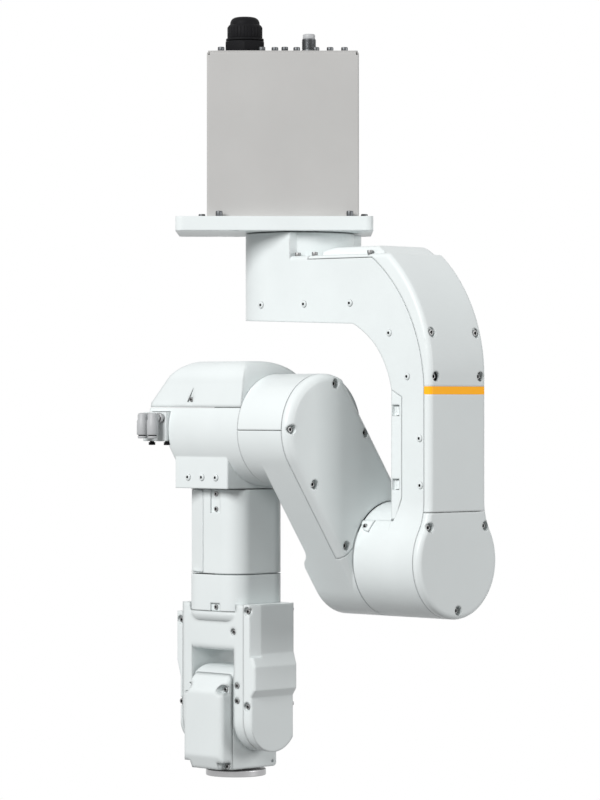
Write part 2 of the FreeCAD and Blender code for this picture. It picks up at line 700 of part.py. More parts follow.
# First arm: a hub, a horizontal limb bent down into a vertical one, and the second joint's barrel
hub_top = -(s.plate_thickness + s.joint_gap + 0.2)
under_start = s.arm1_top - s.arm1_depth + 1
outer_end = (s.limb_outer, Size.of(-165))
outer_start = (s.limb_outer - s.outer_bend_run, s.arm1_top)
inner_start = (Size.of(121), under_start - s.arm1_fall - 1)
inner_end = (s.limb_inner, Size.of(-198.4))
side_profile = [
    (-s.joint_radius, s.arm1_top),
    (*outer_start, s.outer_bend_radius, "right"),
    outer_end,
    (s.limb_outer, s.j2_height - s.barrel_radius),
    (s.limb_inner, s.j2_height - s.barrel_radius),
    (*inner_end, s.inner_bend_radius, "left"),
    inner_start,
    (-s.joint_radius, under_start),
]
plan_profile = [
    (0, -s.joint_radius),
    (s.arm1_taper, -s.limb_half),
    (s.limb_outer, -s.limb_half),
    (s.limb_outer, s.limb_half),
    (s.arm1_taper, s.limb_half),
    (0, s.joint_radius),
]
flare_reach = s.barrel_radius + s.flare_radius
flare_side = s.limb_half + s.flare_radius
flare_top = s.j2_height + root(flare_reach * flare_reach - flare_side * flare_side)
touch = s.barrel_radius / flare_reach
touch_y = flare_side * touch
touch_z = s.j2_height + (flare_top - s.j2_height) * touch
front_profile = [
    (-s.limb_half, -200),
    (-s.limb_half, flare_top, s.flare_radius, "right"),
    (-touch_y, touch_z),
    (touch_y, touch_z, s.flare_radius, "right"),
    (s.limb_half, flare_top),
    (s.limb_half, -200),
]
barrel_at = (0, s.j2_height)
side = slab("xz", side_profile, -s.barrel_radius - 1, s.barrel_radius + 1)
plan = slab("xy", plan_profile, -240, 0)
lower_width = slab("yz", front_profile, 100, s.limb_outer)
lower_width = common(lower_width, block((100, s.limb_outer), (-80, 80), (-420, -239)))
barrel_solid = rod(s.barrel_radius, "x", s.limb_inner, s.limb_outer, barrel_at)
round_hub = rod(s.joint_radius, "z", under_start - 20, s.arm1_top)
width_solid = fuse(plan, lower_width, barrel_solid, round_hub)
limb = common(side, width_solid)
tall = common(plan, block((0, s.arm1_block), (-60, 60), (-100, hub_top)))
tall_hub = rod(s.joint_radius, "z", -100, hub_top)


def outer_edge(middle, tangent, edge):
    """The rim of the spine and end cap, the round edges of the bend and the top of the limb."""
    if abs(middle.z - s.arm1_top.value) < 0.1:
        return middle.x > 100 or middle.x > 20 and abs(middle.y) > 38
    return abs(middle.y) > 38 and (middle.x > s.limb_outer.value - 0.1 or edge.Length > 130 and middle.x > 200)


limb_soft = rounded(limb, s.spine_edge, outer_edge)
arm1_body = fuse(
    limb_soft,
    tall,
    tall_hub,
    rod(s.barrel_radius, "x", s.j2_face, s.limb_inner + 4, barrel_at),
)

# Hollow of the casting, open under the spine cover, and the second joint's barrel
channel_half = s.limb_half - s.casting_wall
channel_floor = under_start + s.casting_wall
channel_bend = s.inner_bend_radius + s.casting_wall
channel = slab(
    "xz",
    [
        (-40, s.arm1_top - s.casting_wall),
        (s.seam_start + 4, s.arm1_top - s.casting_wall),
        (s.seam_start + 4, -20),
        (240, -20),
        (240, -290),
        (s.limb_inner + s.casting_wall, -290),
        (s.limb_inner + s.casting_wall, inner_end[1], channel_bend, "left"),
        (inner_start[0], inner_start[1] + s.casting_wall),
        (-40, channel_floor),
    ],
    -channel_half,
    channel_half,
)
barrel_floor = s.j2_face + s.barrel_wall
cap_face = s.limb_outer - s.seam_inset
barrel_bore = rod(s.barrel_radius - s.barrel_wall, "x", barrel_floor, cap_face - 4, barrel_at)
barrel_mouth = rod(s.hub_radius + 4, "x", s.j2_face, barrel_floor, barrel_at)
hub_pocket_low = hub_top - 8 - s.hub_flange_thickness
hub_pocket = rod(s.hub_flange_radius, "z", -60, hub_top - 8)
hub_mouth = rod(s.hub_radius, "z", hub_top - 8, hub_top)

# Seam lines of the spine cover and of the end cap of the second joint
seam_level = s.arm1_top - s.seam_drop


def outer_zone(shift):
    """The region outside the seam, moved inwards by a shift."""
    bend_end = s.limb_outer - s.seam_inset - shift
    return slab(
        "xz",
        [
            (s.seam_start - shift, 0),
            (s.seam_start - shift, seam_level - shift),
            (bend_end - s.seam_bend_run, seam_level - shift, s.seam_bend_radius, "right"),
            (bend_end, -s.seam_bend_end),
            (bend_end, -500),
            (s.limb_outer + 20, -500),
            (s.limb_outer + 20, 0),
        ],
        -80,
        80,
    )


cap_line = s.j2_height + s.cap_top
above_cap = block((0, 240), (-80, 80), (cap_line + s.seam, 0))
below_cap = block((0, 240), (-80, 80), (-420, cap_line))
cable_low = s.cable_cover_top - 131.5
cable_x = (s.limb_inner - 2, s.limb_inner + s.cable_cover_depth - 0.5)


def cable_shape(gap, half):
    """The cable cover's outline, tapered at both ends and grown by a gap."""
    corners = [
        (cable_x[0] - gap, cable_low - gap),
        (cable_x[1] - s.cable_cover_taper + gap, cable_low - gap),
        (cable_x[1] + gap, cable_low + s.cable_cover_rise),
        (cable_x[1] + gap, s.cable_cover_top - 7.5 + gap),
        (cable_x[0] - gap, s.cable_cover_top + gap),
    ]
    return slab("xz", corners, -half, half)


cable_outer = cable_shape(0, s.limb_half)
cable_zone = cable_shape(s.seam, 60)

# Button screws on both sides of the first arm
button_sites = []
for x, z in ((0, -91), (57, -91), (117, -91), (169, -122), (194, -166), (211, -228), (212, -275)):
    reach = s.joint_radius.value - (s.joint_radius - s.limb_half).value * x / s.arm1_taper.value
    reach = max(reach, s.limb_half.value) - 0.2
    for side_way in (-1, 1):
        button_sites.append(("y", side_way * reach, side_way, (x, z)))
button_holes = screws(
    "arm1_button_screws",
    button_sites,
    ARM1,
    s.button_radius,
    s.button_height,
    s.button_shank_radius,
    s.button_shank_length,
)

# Cap screws along the ledges of the spine cover
ledge_sites = []
for x, y in ((43, 46), (66, 44.5), (140, 39.4)):
    for side_way in (-1, 1):
        ledge_sites.append(("z", s.arm1_top, 1, (x, side_way * y)))
ledge_holes = screws("arm1_cover_screws", ledge_sites, ARM1, Size.of(3.1), Size.of(3.4), None, 3.6)

# Recessed screws of the spine cover and the end cap
spine_screw_sites = []
for side_way in (-1, 1):
    spine_screw_sites.append(("x", s.limb_outer - 9, 1, (side_way * 32.6, -122)))
    spine_screw_sites.append(("x", s.limb_outer - s.pocket_depth, 1, (side_way * 33, -166)))
spine_pockets = [rod(s.pocket_radius, "x", site[1], 240, site[3]) for site in spine_screw_sites]
spine_holes = screws(
    "arm1_cover_screws", spine_screw_sites, ARM1, Size.of(3.2), Size.of(2.4), None, 5
)
cap_screw_sites = [
    ("x", s.limb_outer - s.pocket_depth, 1, at) for at in ((-41, -317), (41, -317), (0, -401.5))
]
cap_pockets = [rod(s.pocket_radius, "x", site[1], 240, site[3]) for site in cap_screw_sites]
cap_holes = screws("arm1_cover_screws", cap_screw_sites, ARM1, Size.of(3.2), Size.of(2.4), None, 6)

# Line across both sides of the barrel, and the screw of the clip plate under it
line_z = s.j2_height + s.clip_line
line_half = root(s.barrel_radius * s.barrel_radius - s.clip_line * s.clip_line) - 0.7
line_span = (line_z - s.seam / 2, line_z + s.seam / 2)
barrel_lines = [
    block((s.j2_face, s.limb_inner), (line_half, 80), line_span),
    block((s.j2_face, s.limb_inner), (-80, -line_half), line_span),
]
clip_sites = [("y", -47.6, -1, (142.3, line_z - 6))]
clip_holes = screws("arm1_cover_screws", clip_sites, ARM1, Size.of(2.6), Size.of(2.4), Size.of(1.5), 5)

piece(
    "arm1_frame",
    cut(
        arm1_body,
        *barrel_lines,
        *clip_holes,
        outer_zone(s.seam),
        channel,
        barrel_bore,
        barrel_mouth,
        hub_pocket,
        hub_mouth,
        cable_zone,
        *button_holes,
        *ledge_holes,
        *spine_holes,
        *cap_holes,
    ),
    ARM1,
)

# Spine cover: a shell over the bend and down the spine, with a raised back
hood_low, hood_high = s.arm1_top - 1, s.arm1_top + s.hood_rise
hood_blank = slab(
    "xz",
    [
        (s.seam_start + 6, hood_low),
        (s.seam_start + 8, s.arm1_top + 4),
        (s.seam_start + 8 + s.hood_ramp, hood_high),
        (s.hood_end - s.hood_tail, hood_high),
        (s.hood_end, hood_low),
    ],
    -s.hood_half,
    s.hood_half,
)
hood_soft = rounded(
    hood_blank,
    s.hood_edge,
    lambda m, t, e: abs(m.y) > 35 and m.z > hood_high.value - 0.1,
)
shell_out = common(limb_soft, outer_zone(Size.of(0)), above_cap)
inner_arc = s.outer_bend_radius - s.spine_wall
shell_in = slab(
    "xz",
    [
        (150, -60),
        (164, -50, inner_arc, "right"),
        (s.limb_outer - s.spine_wall, -165),
        (s.limb_outer - s.spine_wall, -500),
        (150, -500),
    ],
    -channel_half,
    channel_half,
)
hood_in = block((s.seam_start + 14, s.hood_end - 20), (-32, 32), (-60, hood_high - s.spine_wall))
stripe_low = s.stripe_top - s.stripe_height
stripe_depth = 1.2
stripe_zone = cut(
    block((s.limb_outer - s.seam_inset, 240), (-80, 80), (stripe_low, s.stripe_top)),
    rounded(
        block(
            (150, s.limb_outer - stripe_depth),
            (-s.limb_half + stripe_depth, s.limb_half - stripe_depth),
            (stripe_low, s.stripe_top),
        ),
        s.spine_edge - stripe_depth,
        lambda m, t, e: abs(t.z) > 0.9 and m.x > 200,
    ),
)
piece("spine_stripe", common(limb_soft, stripe_zone), ARM1)
piece(
    "spine_cover",
    cut(
        fuse(shell_out, hood_soft),
        shell_in,
        hood_in,
        stripe_zone,
        *spine_pockets,
        *spine_holes,
        *ledge_holes,
    ),
    ARM1,
)

# End cap of the second joint, a shell
cap_out = common(limb_soft, block((cap_face, 240), (-80, 80), (-420, cap_line)))
cap_in = rod(s.barrel_radius - s.barrel_wall, "x", cap_face, s.limb_outer - s.spine_wall, barrel_at)
cap_posts = [rod(5.5, "x", cap_face, s.limb_outer - 3, at[3]) for at in cap_screw_sites]
cap_cavity = cut(cap_in, *cap_posts)
piece("j2_cap", cut(cap_out, cap_cavity, *cap_pockets, *cap_holes), ARM1)

# Cable cover on the inner face, with finger recesses on both sides
cable_in = block(
    (cable_x[0] + s.cable_cover_wall, 200),
    (-s.limb_half + s.cable_cover_wall, s.limb_half - s.cable_cover_wall),
    (cable_low + s.cable_cover_wall, s.cable_cover_top - 12),
)
recesses = []
for low, high in ((-205.7, -194.6), (-280, -269)):
    for side_way in (-1, 1):
        depth = sorted((side_way * (s.limb_half.value - 3), side_way * 60))
        recesses.append(block((s.recess_inner, s.recess_outer), depth, (low, high)))
barrel_clear = rod(s.barrel_radius + s.seam, "x", 100, s.limb_inner + 4, barrel_at)
barrel_part = common(cable_outer, block((100, 240), (-80, 80), (cable_low, 0)))
piece("cable_cover", cut(barrel_part, cable_in, *recesses, barrel_clear), ARM1)

# Small clip plate on the barrel
clip_top = line_z - 0.4
clip_blank = slab(
    "xz",
    [
        (135.2, clip_top),
        (151, clip_top),
        (149.5, clip_top - 11),
        (141.5, clip_top - 9),
        (135.2, clip_top - 3),
    ],
    -62,
    -20,
)
clip_shell = cut(
    rod(s.barrel_radius + s.clip_thickness, "x", s.j2_face, s.limb_inner, barrel_at),
    rod(s.barrel_radius, "x", s.j2_face, s.limb_inner, barrel_at),
)
piece("clip_plate", cut(common(clip_blank, clip_shell), *clip_holes), ARM1)

# Output hub of the first joint
hub_low = hub_top - 8 - s.hub_flange_thickness
j1_hub = fuse(
    rod(s.hub_flange_radius, "z", hub_low, hub_top - 8),
    rod(s.hub_radius, "z", hub_top - 8, s.reducer_height - s.hub_slack),
)
piece("j1_output_hub", cut(j1_hub, rod(s.hub_bore, "z", hub_low, s.reducer_height)), ARM1)

# Second joint drive inside the barrel
j2_reducer_end = barrel_floor + s.j2_reducer_length
piece(
    "j2_reducer",
    cut(
        rod(s.barrel_radius - s.barrel_wall, "x", barrel_floor, j2_reducer_end, barrel_at),
        rod(bearing_radius, "x", barrel_floor, j2_reducer_end, barrel_at),
    ),
    ARM1,
)
j2_motor_end = j2_reducer_end + s.j2_motor_length
j2_motor = fuse(
    rod(s.j2_motor_radius, "x", j2_reducer_end, j2_motor_end - 12, barrel_at),
    rod(s.j2_motor_radius - 6, "x", j2_motor_end - 12, j2_motor_end, barrel_at),
)
piece("j2_motor", j2_motor, ARM1)

# Second arm: a plate with a round end at each joint, a side cover and an end cover
j3_at = (0, s.arm2_length)
arm2_outer = s.j2_face - s.joint_gap
cover_face = arm2_outer - s.arm2_cover_depth
frame_face = cover_face - s.seam


def stadium(wall, x):
    """The second arm's outline with round ends at both joints, drawn in by a wall."""
    large, small = s.barrel_radius - wall, s.joint_radius - wall
    corners = [(-large, 0), (large, 0), (small, s.arm2_length), (-small, s.arm2_length)]
    return fuse(
        rod(large, "x", *x),
        rod(small, "x", *x, at=j3_at),
        slab("yz", corners, *x),
    )


def flank(wall):
    """The second arm seen along its length, with one bevelled flank, drawn in by a wall."""
    bevel = arm2_outer - s.flank_depth
    corners = [
        (20, -90),
        (arm2_outer, -90),
        (arm2_outer, s.flank_reach - wall),
        (bevel, s.flank_reach + s.flank_rise - wall),
        (bevel, 90),
        (20, 90),
    ]
    return slab("xy", corners, -80, 240)


plate_inner = s.arm2_inner + s.arm2_step
step_half = s.arm2_step / 2
step_radius = (s.arm2_step_run * s.arm2_step_run + step_half * step_half) / (2 * step_half)
step_mid = s.arm2_step_line + s.arm2_step_run
arm2_side_view = slab(
    "xz",
    [
        (s.arm2_inner, -80),
        (arm2_outer, -80),
        (arm2_outer, 240),
        (plate_inner, 240),
        (plate_inner, step_mid + s.arm2_step_run, step_radius, "right"),
        (plate_inner - step_half, step_mid, step_radius, "left"),
        (s.arm2_inner, s.arm2_step_line),
    ],
    -80,
    80,
)
arm2_blank = rounded(
    common(stadium(0, (s.arm2_inner, arm2_outer)), arm2_side_view, flank(0)),
    s.arm2_edge,
    lambda m, t, e: m.x > arm2_outer.value - 0.1,
)
arm2_body = fuse(
    cut(arm2_blank, block((frame_face, 140), (-80, 80), (s.arm2_cover_line, 240))),
    rod(s.barrel_radius, "x", s.arm2_inner, arm2_outer),
    rod(s.joint_radius, "x", s.j3_face, frame_face, j3_at),
)
seam_turn = Rotation(Vector(1, 0, 0), -s.arm2_tilt.value)


def above_seam(shift):
    """The half space above the third axis in the photographed pose, as a large box."""
    thing = doc.addObject("Part::Box", "block")
    for name, size in (("Length", 200), ("Width", 200), ("Height", 100)):
        setattr(thing, name, size)
    raised = Vector(0, -100, shift.value)
    base = Vector(0, 0, s.arm2_length.value) + seam_turn.multVec(raised)
    thing.Placement = Placement(base, seam_turn)
    return thing


end_core = stadium(s.end_cover_wall, (0, 200))
end_zone = cut(above_seam(-s.seam / 2), end_core)
end_cover_zone = cut(above_seam(s.seam / 2), stadium(s.end_cover_wall - 0.1, (0, 200)))
end_span = block((0, frame_face - 0.1), (-80, 80), (60, 240))
j3_bore = s.joint_radius - s.end_cover_wall - 5
j3_floor = s.j3_face + 5.5
arm2_hub_low = arm2_outer - s.arm2_wall - s.hub_flange_thickness
hub_seat = arm2_outer - s.arm2_wall
side_screw_sites = [
    ("x", arm2_outer - s.pocket_depth, 1, at)
    for at in ((43, 127.5), (36, 193.5), (-47, 128.5), (-46, 51), (-40.5, 191.5))
]
side_pockets = [rod(s.pocket_radius, "x", site[1], 140, site[3]) for site in side_screw_sites]
side_holes = screws("arm2_cover_screws", side_screw_sites, ARM2, Size.of(3.2), Size.of(2.4), None, 5)
piece(
    "arm2_frame",
    cut(
        arm2_body,
        common(end_zone, end_span),
        block((plate_inner + 6, 140), (-42, 42), (52, s.arm2_length)),
        block((plate_inner + 6, hub_seat), (-30, 30), (0, 60)),
        rod(s.hub_flange_radius, "x", s.arm2_inner + s.arm2_wall, hub_seat),
        rod(s.hub_radius, "x", hub_seat, arm2_outer),
        rod(j3_bore, "x", j3_floor, 140, j3_at),
        rod(s.hub_radius + 2, "x", s.j3_face, j3_floor, j3_at),
        *side_holes,
    ),
    ARM2,
)
end_shell = common(arm2_body, end_cover_zone, end_span)
piece("arm2_end_cover", end_shell, ARM2)
cover_span = (cover_face, 140)
side_blank = common(arm2_blank, block(cover_span, (-80, 80), (s.arm2_cover_line + s.seam, 240)))
side_in = cut(
    common(
        stadium(5, (cover_face, arm2_outer - 4)),
        flank(6),
        block(cover_span, (-80, 80), (s.arm2_cover_line + 16, 240)),
    ),
    *[rod(s.pocket_radius + 2, "x", cover_face, arm2_outer, site[3]) for site in side_screw_sites],
)
piece(
    "arm2_side_cover",
    cut(
        side_blank,
        side_in,
        rod(s.barrel_radius + s.seam, "x", 80, 140),
        *side_pockets,
        *side_holes,
    ),
    ARM2,
)

# Output hub of the second joint, carried by the second arm
j2_hub = fuse(
    rod(s.hub_flange_radius, "x", arm2_hub_low, hub_seat),
    rod(s.hub_radius, "x", hub_seat, j2_reducer_end - s.hub_slack),
)
piece("j2_output_hub", cut(j2_hub, rod(s.hub_bore, "x", 80, 240)), ARM2)

# Third joint drive inside the second arm
j3_reducer_end = j3_floor + s.j3_reducer_length
j3_motor_end = j3_reducer_end + s.j3_motor_length
piece(
    "j3_reducer",
    cut(
        rod(j3_bore, "x", j3_floor, j3_reducer_end, j3_at),
        rod(bearing_radius, "x", j3_floor, j3_reducer_end, j3_at),
    ),
    ARM2,
)
j3_motor = fuse(
    rod(s.j3_motor_radius, "x", j3_reducer_end, j3_motor_end - 6, j3_at),
    rod(s.j3_motor_radius - 8, "x", j3_motor_end - 6, j3_motor_end, j3_at),
)
piece("j3_motor", j3_motor, ARM2)


# Elbow: a barrel along the third axis whose lower half runs into a square block
elbow_right = s.j3_face - 0.3
elbow_profile = [
    (s.elbow_left, s.hood_seam),
    (s.elbow_left, 10, s.elbow_cove, "right"),
    (-40, -30),
    (-s.block_half_x, -s.block_bottom),
    (s.block_half_x, -s.block_bottom),
    (s.block_half_x, -s.joint_radius),
    (elbow_right, -s.joint_radius),
    (elbow_right, s.hood_seam),
]
elbow_width = fuse(
    rod(s.joint_radius, "x", s.elbow_left, elbow_right),
    block((-s.block_half_x, s.block_half_x), (-s.block_half_y, s.block_half_y), (-s.block_bottom, 0)),
)
elbow_lower = common(slab("xz", elbow_profile, -60, 60), elbow_width)
elbow_soft = rounded(
    elbow_lower,
    Size.of(2),
    lambda m, t, e: abs(t.z) > 0.95 and m.z < -30 and abs(m.y) > 45,
)
hood_sloped = s.elbow_left + s.hood_slope_run


def hood_shape(wall, low):
    """The hood's outline in both directions, drawn in by a wall."""
    top = s.hood_top - wall
    front = s.hood_front - wall
    side_view = slab(
        "xz",
        [
            (s.elbow_left + wall, low),
            (elbow_right - wall, low),
            (elbow_right - wall, top - s.hood_end_round, s.hood_end_round, "left"),
            (elbow_right - wall - s.hood_end_round, top),
            (hood_sloped + 26, top, 60, "left"),
            (hood_sloped + wall / 2, s.hood_seam + 5 + s.hood_slope_rise - wall / 2),
            (s.elbow_left + wall, s.hood_seam + 5),
        ],
        -70,
        70,
    )
    end_view = slab(
        "yz",
        [
            (-front, low),
            (front, low),
            (front, s.hood_seam + 1, s.hood_back_radius - wall, "left"),
            (-s.hood_ridge, top),
            (-front + s.hood_lean + s.hood_round, top, s.hood_round, "left"),
            (-front + s.hood_lean, top - s.hood_round),
        ],
        -90,
        90,
    )
    return common(side_view, end_view)


elbow_screw_sites = [("y", -s.block_half_y, -1, (x, -48.5)) for x in (-18.5, 2, 22.5)]
elbow_screw_sites += [("y", s.block_half_y, 1, (x, -48.5)) for x in (-18.5, 2, 22.5)]
elbow_holes = screws(
    "elbow_screws",
    elbow_screw_sites,
    ELBOW,
    s.button_radius,
    s.button_height,
    s.button_shank_radius,
    s.button_shank_length,
)
hood_screw_x = -14.2
hood_recess = s.hood_front.value - 3.2
hood_screw_sites = [("y", way * hood_recess, way, (hood_screw_x, 31)) for way in (-1, 1)]
recess_corners = [(hood_screw_x - 4.8, 28.4), (hood_screw_x + 3.6, 28.4), (hood_screw_x + 2.6, 43)]
hood_pockets = []
hood_posts = []
for site in hood_screw_sites:
    span = sorted((site[1], site[2] * 60))
    hood_pockets.append(slab("xz", recess_corners, *span))
    span = sorted((site[1] - site[2] * 6, site[2] * 60))
    hood_posts.append(rod(14, "y", *span, at=(hood_screw_x, 35)))
hood_screw_holes = screws("elbow_screws", hood_screw_sites, ELBOW, Size.of(2.4), Size.of(1.6), Size.of(1.5), 5)
hood_outer = hood_shape(Size.of(0), s.hood_seam + s.seam)
hood_hollow = cut(hood_shape(s.hood_wall, s.hood_seam - 10), *hood_posts)

# Block of the air fittings on the front of the elbow, two elbow fittings and two plugs
air_x = (s.elbow_left - 3.5, s.elbow_left - 3.5 + s.fitting_block_length)
air_low = -12
air_front = -s.joint_radius - 2.5
air_back = air_front + s.fitting_block_depth
air_y = (air_front, air_back)
air_z = (air_low, air_low + s.fitting_block_height)
air_zone = block(
    (air_x[0], air_x[1] + s.seam),
    (-80, air_back + s.seam),
    (air_low - s.fitting_plug_height - s.seam, air_z[1] + s.seam),
)
port_x = [-48, -48 - s.fitting_spacing]
port_z = 12
ports = [rod(4, "y", air_front, air_back - 3, (x, port_z)) for x in port_x]
plug_x = [-45, -68]
plug_ports = [rod(s.fitting_plug_radius - 0.5, "z", air_low, air_low + 6, (x, air_front + 4.5)) for x in plug_x]
air_soft = rounded(block(air_x, air_y, air_z), Size.of(1.5), lambda m, t, e: abs(t.y) > 0.9)
piece("air_manifold", cut(air_soft, *ports, *plug_ports), ELBOW)
for number, x in enumerate(port_x, 1):
    drop_y = air_front - s.fitting_reach + s.fitting_radius / 2
    drop_at = (x, drop_y)
    drop_low = port_z + 2 - s.fitting_length
    fitting = fuse(
        rod(4, "y", air_front, air_back - 3, (x, port_z)),
        rod(s.fitting_radius - 0.8, "y", drop_y, air_front, (x, port_z)),
        hexagon(10, "y", air_front - 4, air_front, (x, port_z)),
        rod(s.fitting_radius, "z", drop_low, port_z + 5, drop_at),
    )
    collar = rounded(
        rod(s.fitting_radius - 1, "z", drop_low - 3, drop_low, drop_at),
        Size.of(1),
        lambda m, t, e: m.z < drop_low.value - 1,
    )
    bore = rod(s.fitting_radius - 3, "z", drop_low - 3, drop_low + 12, drop_at)
    piece(f"air_fitting_{number}", cut(fuse(fitting, collar), bore), ELBOW)
plugs = []
for x in plug_x:
    plug_at = (x, air_front + 4.5)
    plugs.append(
        fuse(
            rod(s.fitting_plug_radius - 0.5, "z", air_low, air_low + 6, plug_at),
            hexagon(s.fitting_plug_radius * 2, "z", air_low - s.fitting_plug_height, air_low, plug_at),
        )
    )
piece("manifold_plugs", bundle(*plugs), ELBOW)

# Hollow of the elbow, its output hub and the fourth joint drive
elbow_floor = -s.block_bottom + s.elbow_wall
elbow_skin = elbow_right - s.elbow_wall - 1
cavity = fuse(
    block(
        (-s.block_half_x + s.elbow_wall, s.block_half_x - s.elbow_wall),
        (-s.block_half_y + s.elbow_wall, s.block_half_y - s.elbow_wall),
        (elbow_floor, s.hood_seam),
    ),
    rod(s.joint_radius - s.elbow_wall, "x", -37, elbow_skin),
    block((-37, elbow_skin), (-40, 40), (-8, s.hood_seam)),
    block((-62, -36), (-40, 40), (s.hood_seam - s.shelf_depth, s.hood_seam)),
)
piece(
    "elbow_housing",
    cut(
        elbow_soft,
        cut(cavity, block((-80, -34), (-80, -46), (-80, 80))),
        rod(s.hub_radius, "x", elbow_skin, elbow_right),
        rod(s.j4_hub_radius + 1.5, "z", -s.block_bottom, elbow_floor),
        air_zone,
        *elbow_holes,
    ),
    ELBOW,
)
j3_hub_low = elbow_skin - s.hub_flange_thickness
j3_hub = fuse(
    rod(s.hub_flange_radius, "x", j3_hub_low, elbow_skin),
    rod(s.hub_radius, "x", elbow_skin, j3_reducer_end - s.hub_slack),
)
piece("j3_output_hub", cut(j3_hub, rod(s.hub_bore, "x", 0, 140)), ELBOW)
hood_body = cut(hood_outer, hood_hollow, *hood_pockets, *hood_screw_holes)
hub_room = fuse(
    rod(s.hub_flange_radius, "x", j3_hub_low, elbow_skin),
    rod(s.hub_radius, "x", elbow_skin, elbow_right + 10),
)
piece("elbow_hood", cut(hood_body, hub_room), ELBOW)
j4_reducer_top = elbow_floor + s.j4_reducer_length
j4_bearing = s.j4_hub_radius + s.fit
piece(
    "j4_reducer",
    cut(
        rod(s.j4_reducer_radius, "z", elbow_floor, j4_reducer_top),
        rod(j4_bearing, "z", elbow_floor, j4_reducer_top),
    ),
    ELBOW,
)
j4_motor_top = j4_reducer_top + s.j4_motor_length
j4_motor = fuse(
    rod(s.j4_motor_radius, "z", j4_reducer_top, j4_motor_top - 14),
    rod(s.j4_motor_radius - 4, "z", j4_motor_top - 14, j4_motor_top),
)
piece("j4_motor", j4_motor, ELBOW)

# Forearm: a rounded square tube with a flat cover across its front left corner
tube_top = -s.block_bottom - s.joint_gap
tube_low = tube_top - s.forearm_length
square = (-s.forearm_half, s.forearm_half)
inner_square = inset(square, s.forearm_wall)
inner_corner = s.forearm_corner - s.forearm_wall
flat_start = (s.plate_cover_start, -s.forearm_half)
flat_end = (flat_start[0] - s.plate_cover_reach, flat_start[1] + s.plate_cover_back)
flat_low, flat_high = tube_low + 1, tube_top - 1
flat_outside = slab(
    "xy",
    [flat_start, (flat_start[0], -60), (-60, -60), (-60, flat_end[1] + 0.6), (flat_end[0], flat_end[1] + 0.6)],
    flat_low - 5,
    flat_high + 5,
)
flat_cover = slab(
    "xy",
    [
        flat_start,
        (flat_start[0] + 0.9, flat_start[1] + s.plate_cover_thickness - 0.3),
        (flat_end[0] + 1.2, flat_end[1] + s.plate_cover_thickness - 0.3),
        flat_end,
    ],
    flat_low,
    flat_high,
)
flat_zone = slab(
    "xy",
    [
        (flat_start[0] + 0.8, flat_start[1] - 10),
        (flat_start[0] + 1.6, flat_start[1] + s.plate_cover_thickness + 0.3),
        (flat_end[0] + 0.8, flat_end[1] + s.plate_cover_thickness + 0.3),
        (flat_end[0] - 12, flat_end[1] + 1),
        (flat_end[0] - 12, -60),
    ],
    flat_low - 0.6,
    flat_high + 0.6,
)
pocket_x = (2.4, 16.4)
tube_pocket = block(pocket_x, (-60, -s.forearm_half + 2), (tube_top - 24, tube_top))
tube_outer = slab("xy", box_outline(square, square, s.forearm_corner), tube_low, tube_top)
forearm_sites = []
for z in (tube_top - 4.5, tube_top - 20):
    forearm_sites.append(("y", -s.forearm_half + 2, -1, (9.6, z)))
forearm_holes = screws("forearm_screws", forearm_sites, ELBOW, Size.of(2.6), Size.of(1.4), Size.of(1.5), 1.9)
tube_inner = slab(
    "xy", box_outline(inner_square, inner_square, inner_corner), tube_low, tube_top - s.forearm_wall
)
corner_web = slab("xy", [(4, -50), (-50, -50), (-50, -24), (-38, -24), (4, -33)], -240, 0)
corner_zone = slab("xy", [(5, -50), (-50, -50), (-50, -22), (-38, -22), (5, -31.5)], -240, 0)
flange_of_hub = s.j4_hub_radius + 11
piece(
    "forearm_tube",
    cut(
        tube_outer,
        cut(tube_inner, corner_web),
        flat_zone,
        tube_pocket,
        rod(s.j4_hub_radius, "z", tube_top - s.forearm_wall, tube_top),
        *forearm_holes,
    ),
    ELBOW,
)
piece("forearm_plate", common(flat_cover, tube_outer), ELBOW)
j4_hub_top = tube_top - s.forearm_wall
j4_hub_high = j4_reducer_top - s.hub_slack
j4_hub = fuse(
    rod(flange_of_hub, "z", j4_hub_top - 6, j4_hub_top),
    rod(s.j4_hub_radius, "z", j4_hub_top, j4_hub_high),
)
piece("j4_output_hub", cut(j4_hub, rod(11, "z", j4_hub_top - 6, j4_hub_high)), ELBOW)

# Ring between the forearm tube and the fork
ring_top = tube_low - s.seam * 2
ring_low = ring_top - s.ring_height + 1.5
ring_pocket = block(pocket_x, (-60, -s.forearm_half + 2), (ring_low - 1, ring_low + s.lip_drop))
ring_sites = [("y", -s.forearm_half + 2, -1, (9.6, ring_low + 4))]
ring_holes = screws("forearm_screws", ring_sites, ELBOW, Size.of(2.6), Size.of(1.4), Size.of(1.5), 1.9)
ring_outer = slab("xy", box_outline(square, square, s.forearm_corner), ring_low, ring_top)
ring_inner = slab("xy", box_outline(inner_square, inner_square, inner_corner), ring_low, ring_top)
spigot_inner = inset(inner_square, s.forearm_wall - 1)
spigot = cut(
    slab("xy", box_outline(inner_square, inner_square, inner_corner), ring_low - s.seam, tube_low + 6),
    slab("xy", box_outline(spigot_inner, spigot_inner, inner_corner - 3), ring_low - s.seam, tube_low + 6),
)
ring_solid = fuse(cut(ring_outer, ring_inner), cut(spigot, corner_zone))
piece("forearm_ring", cut(ring_solid, flat_zone, ring_pocket, *ring_holes), ELBOW)

# Wrist fork: two cheeks under a web that is hollowed round the fifth axis
lip = ring_low - s.seam + s.wrist_drop
fork_top = lip + s.lip_drop


def cheek_view(radius, top, x):
    """A cheek seen along the fifth axis: straight sides and a round end."""
    return fuse(
        block(x, (-radius, radius), (0, top)),
        rod(radius, "x", *x),
    )


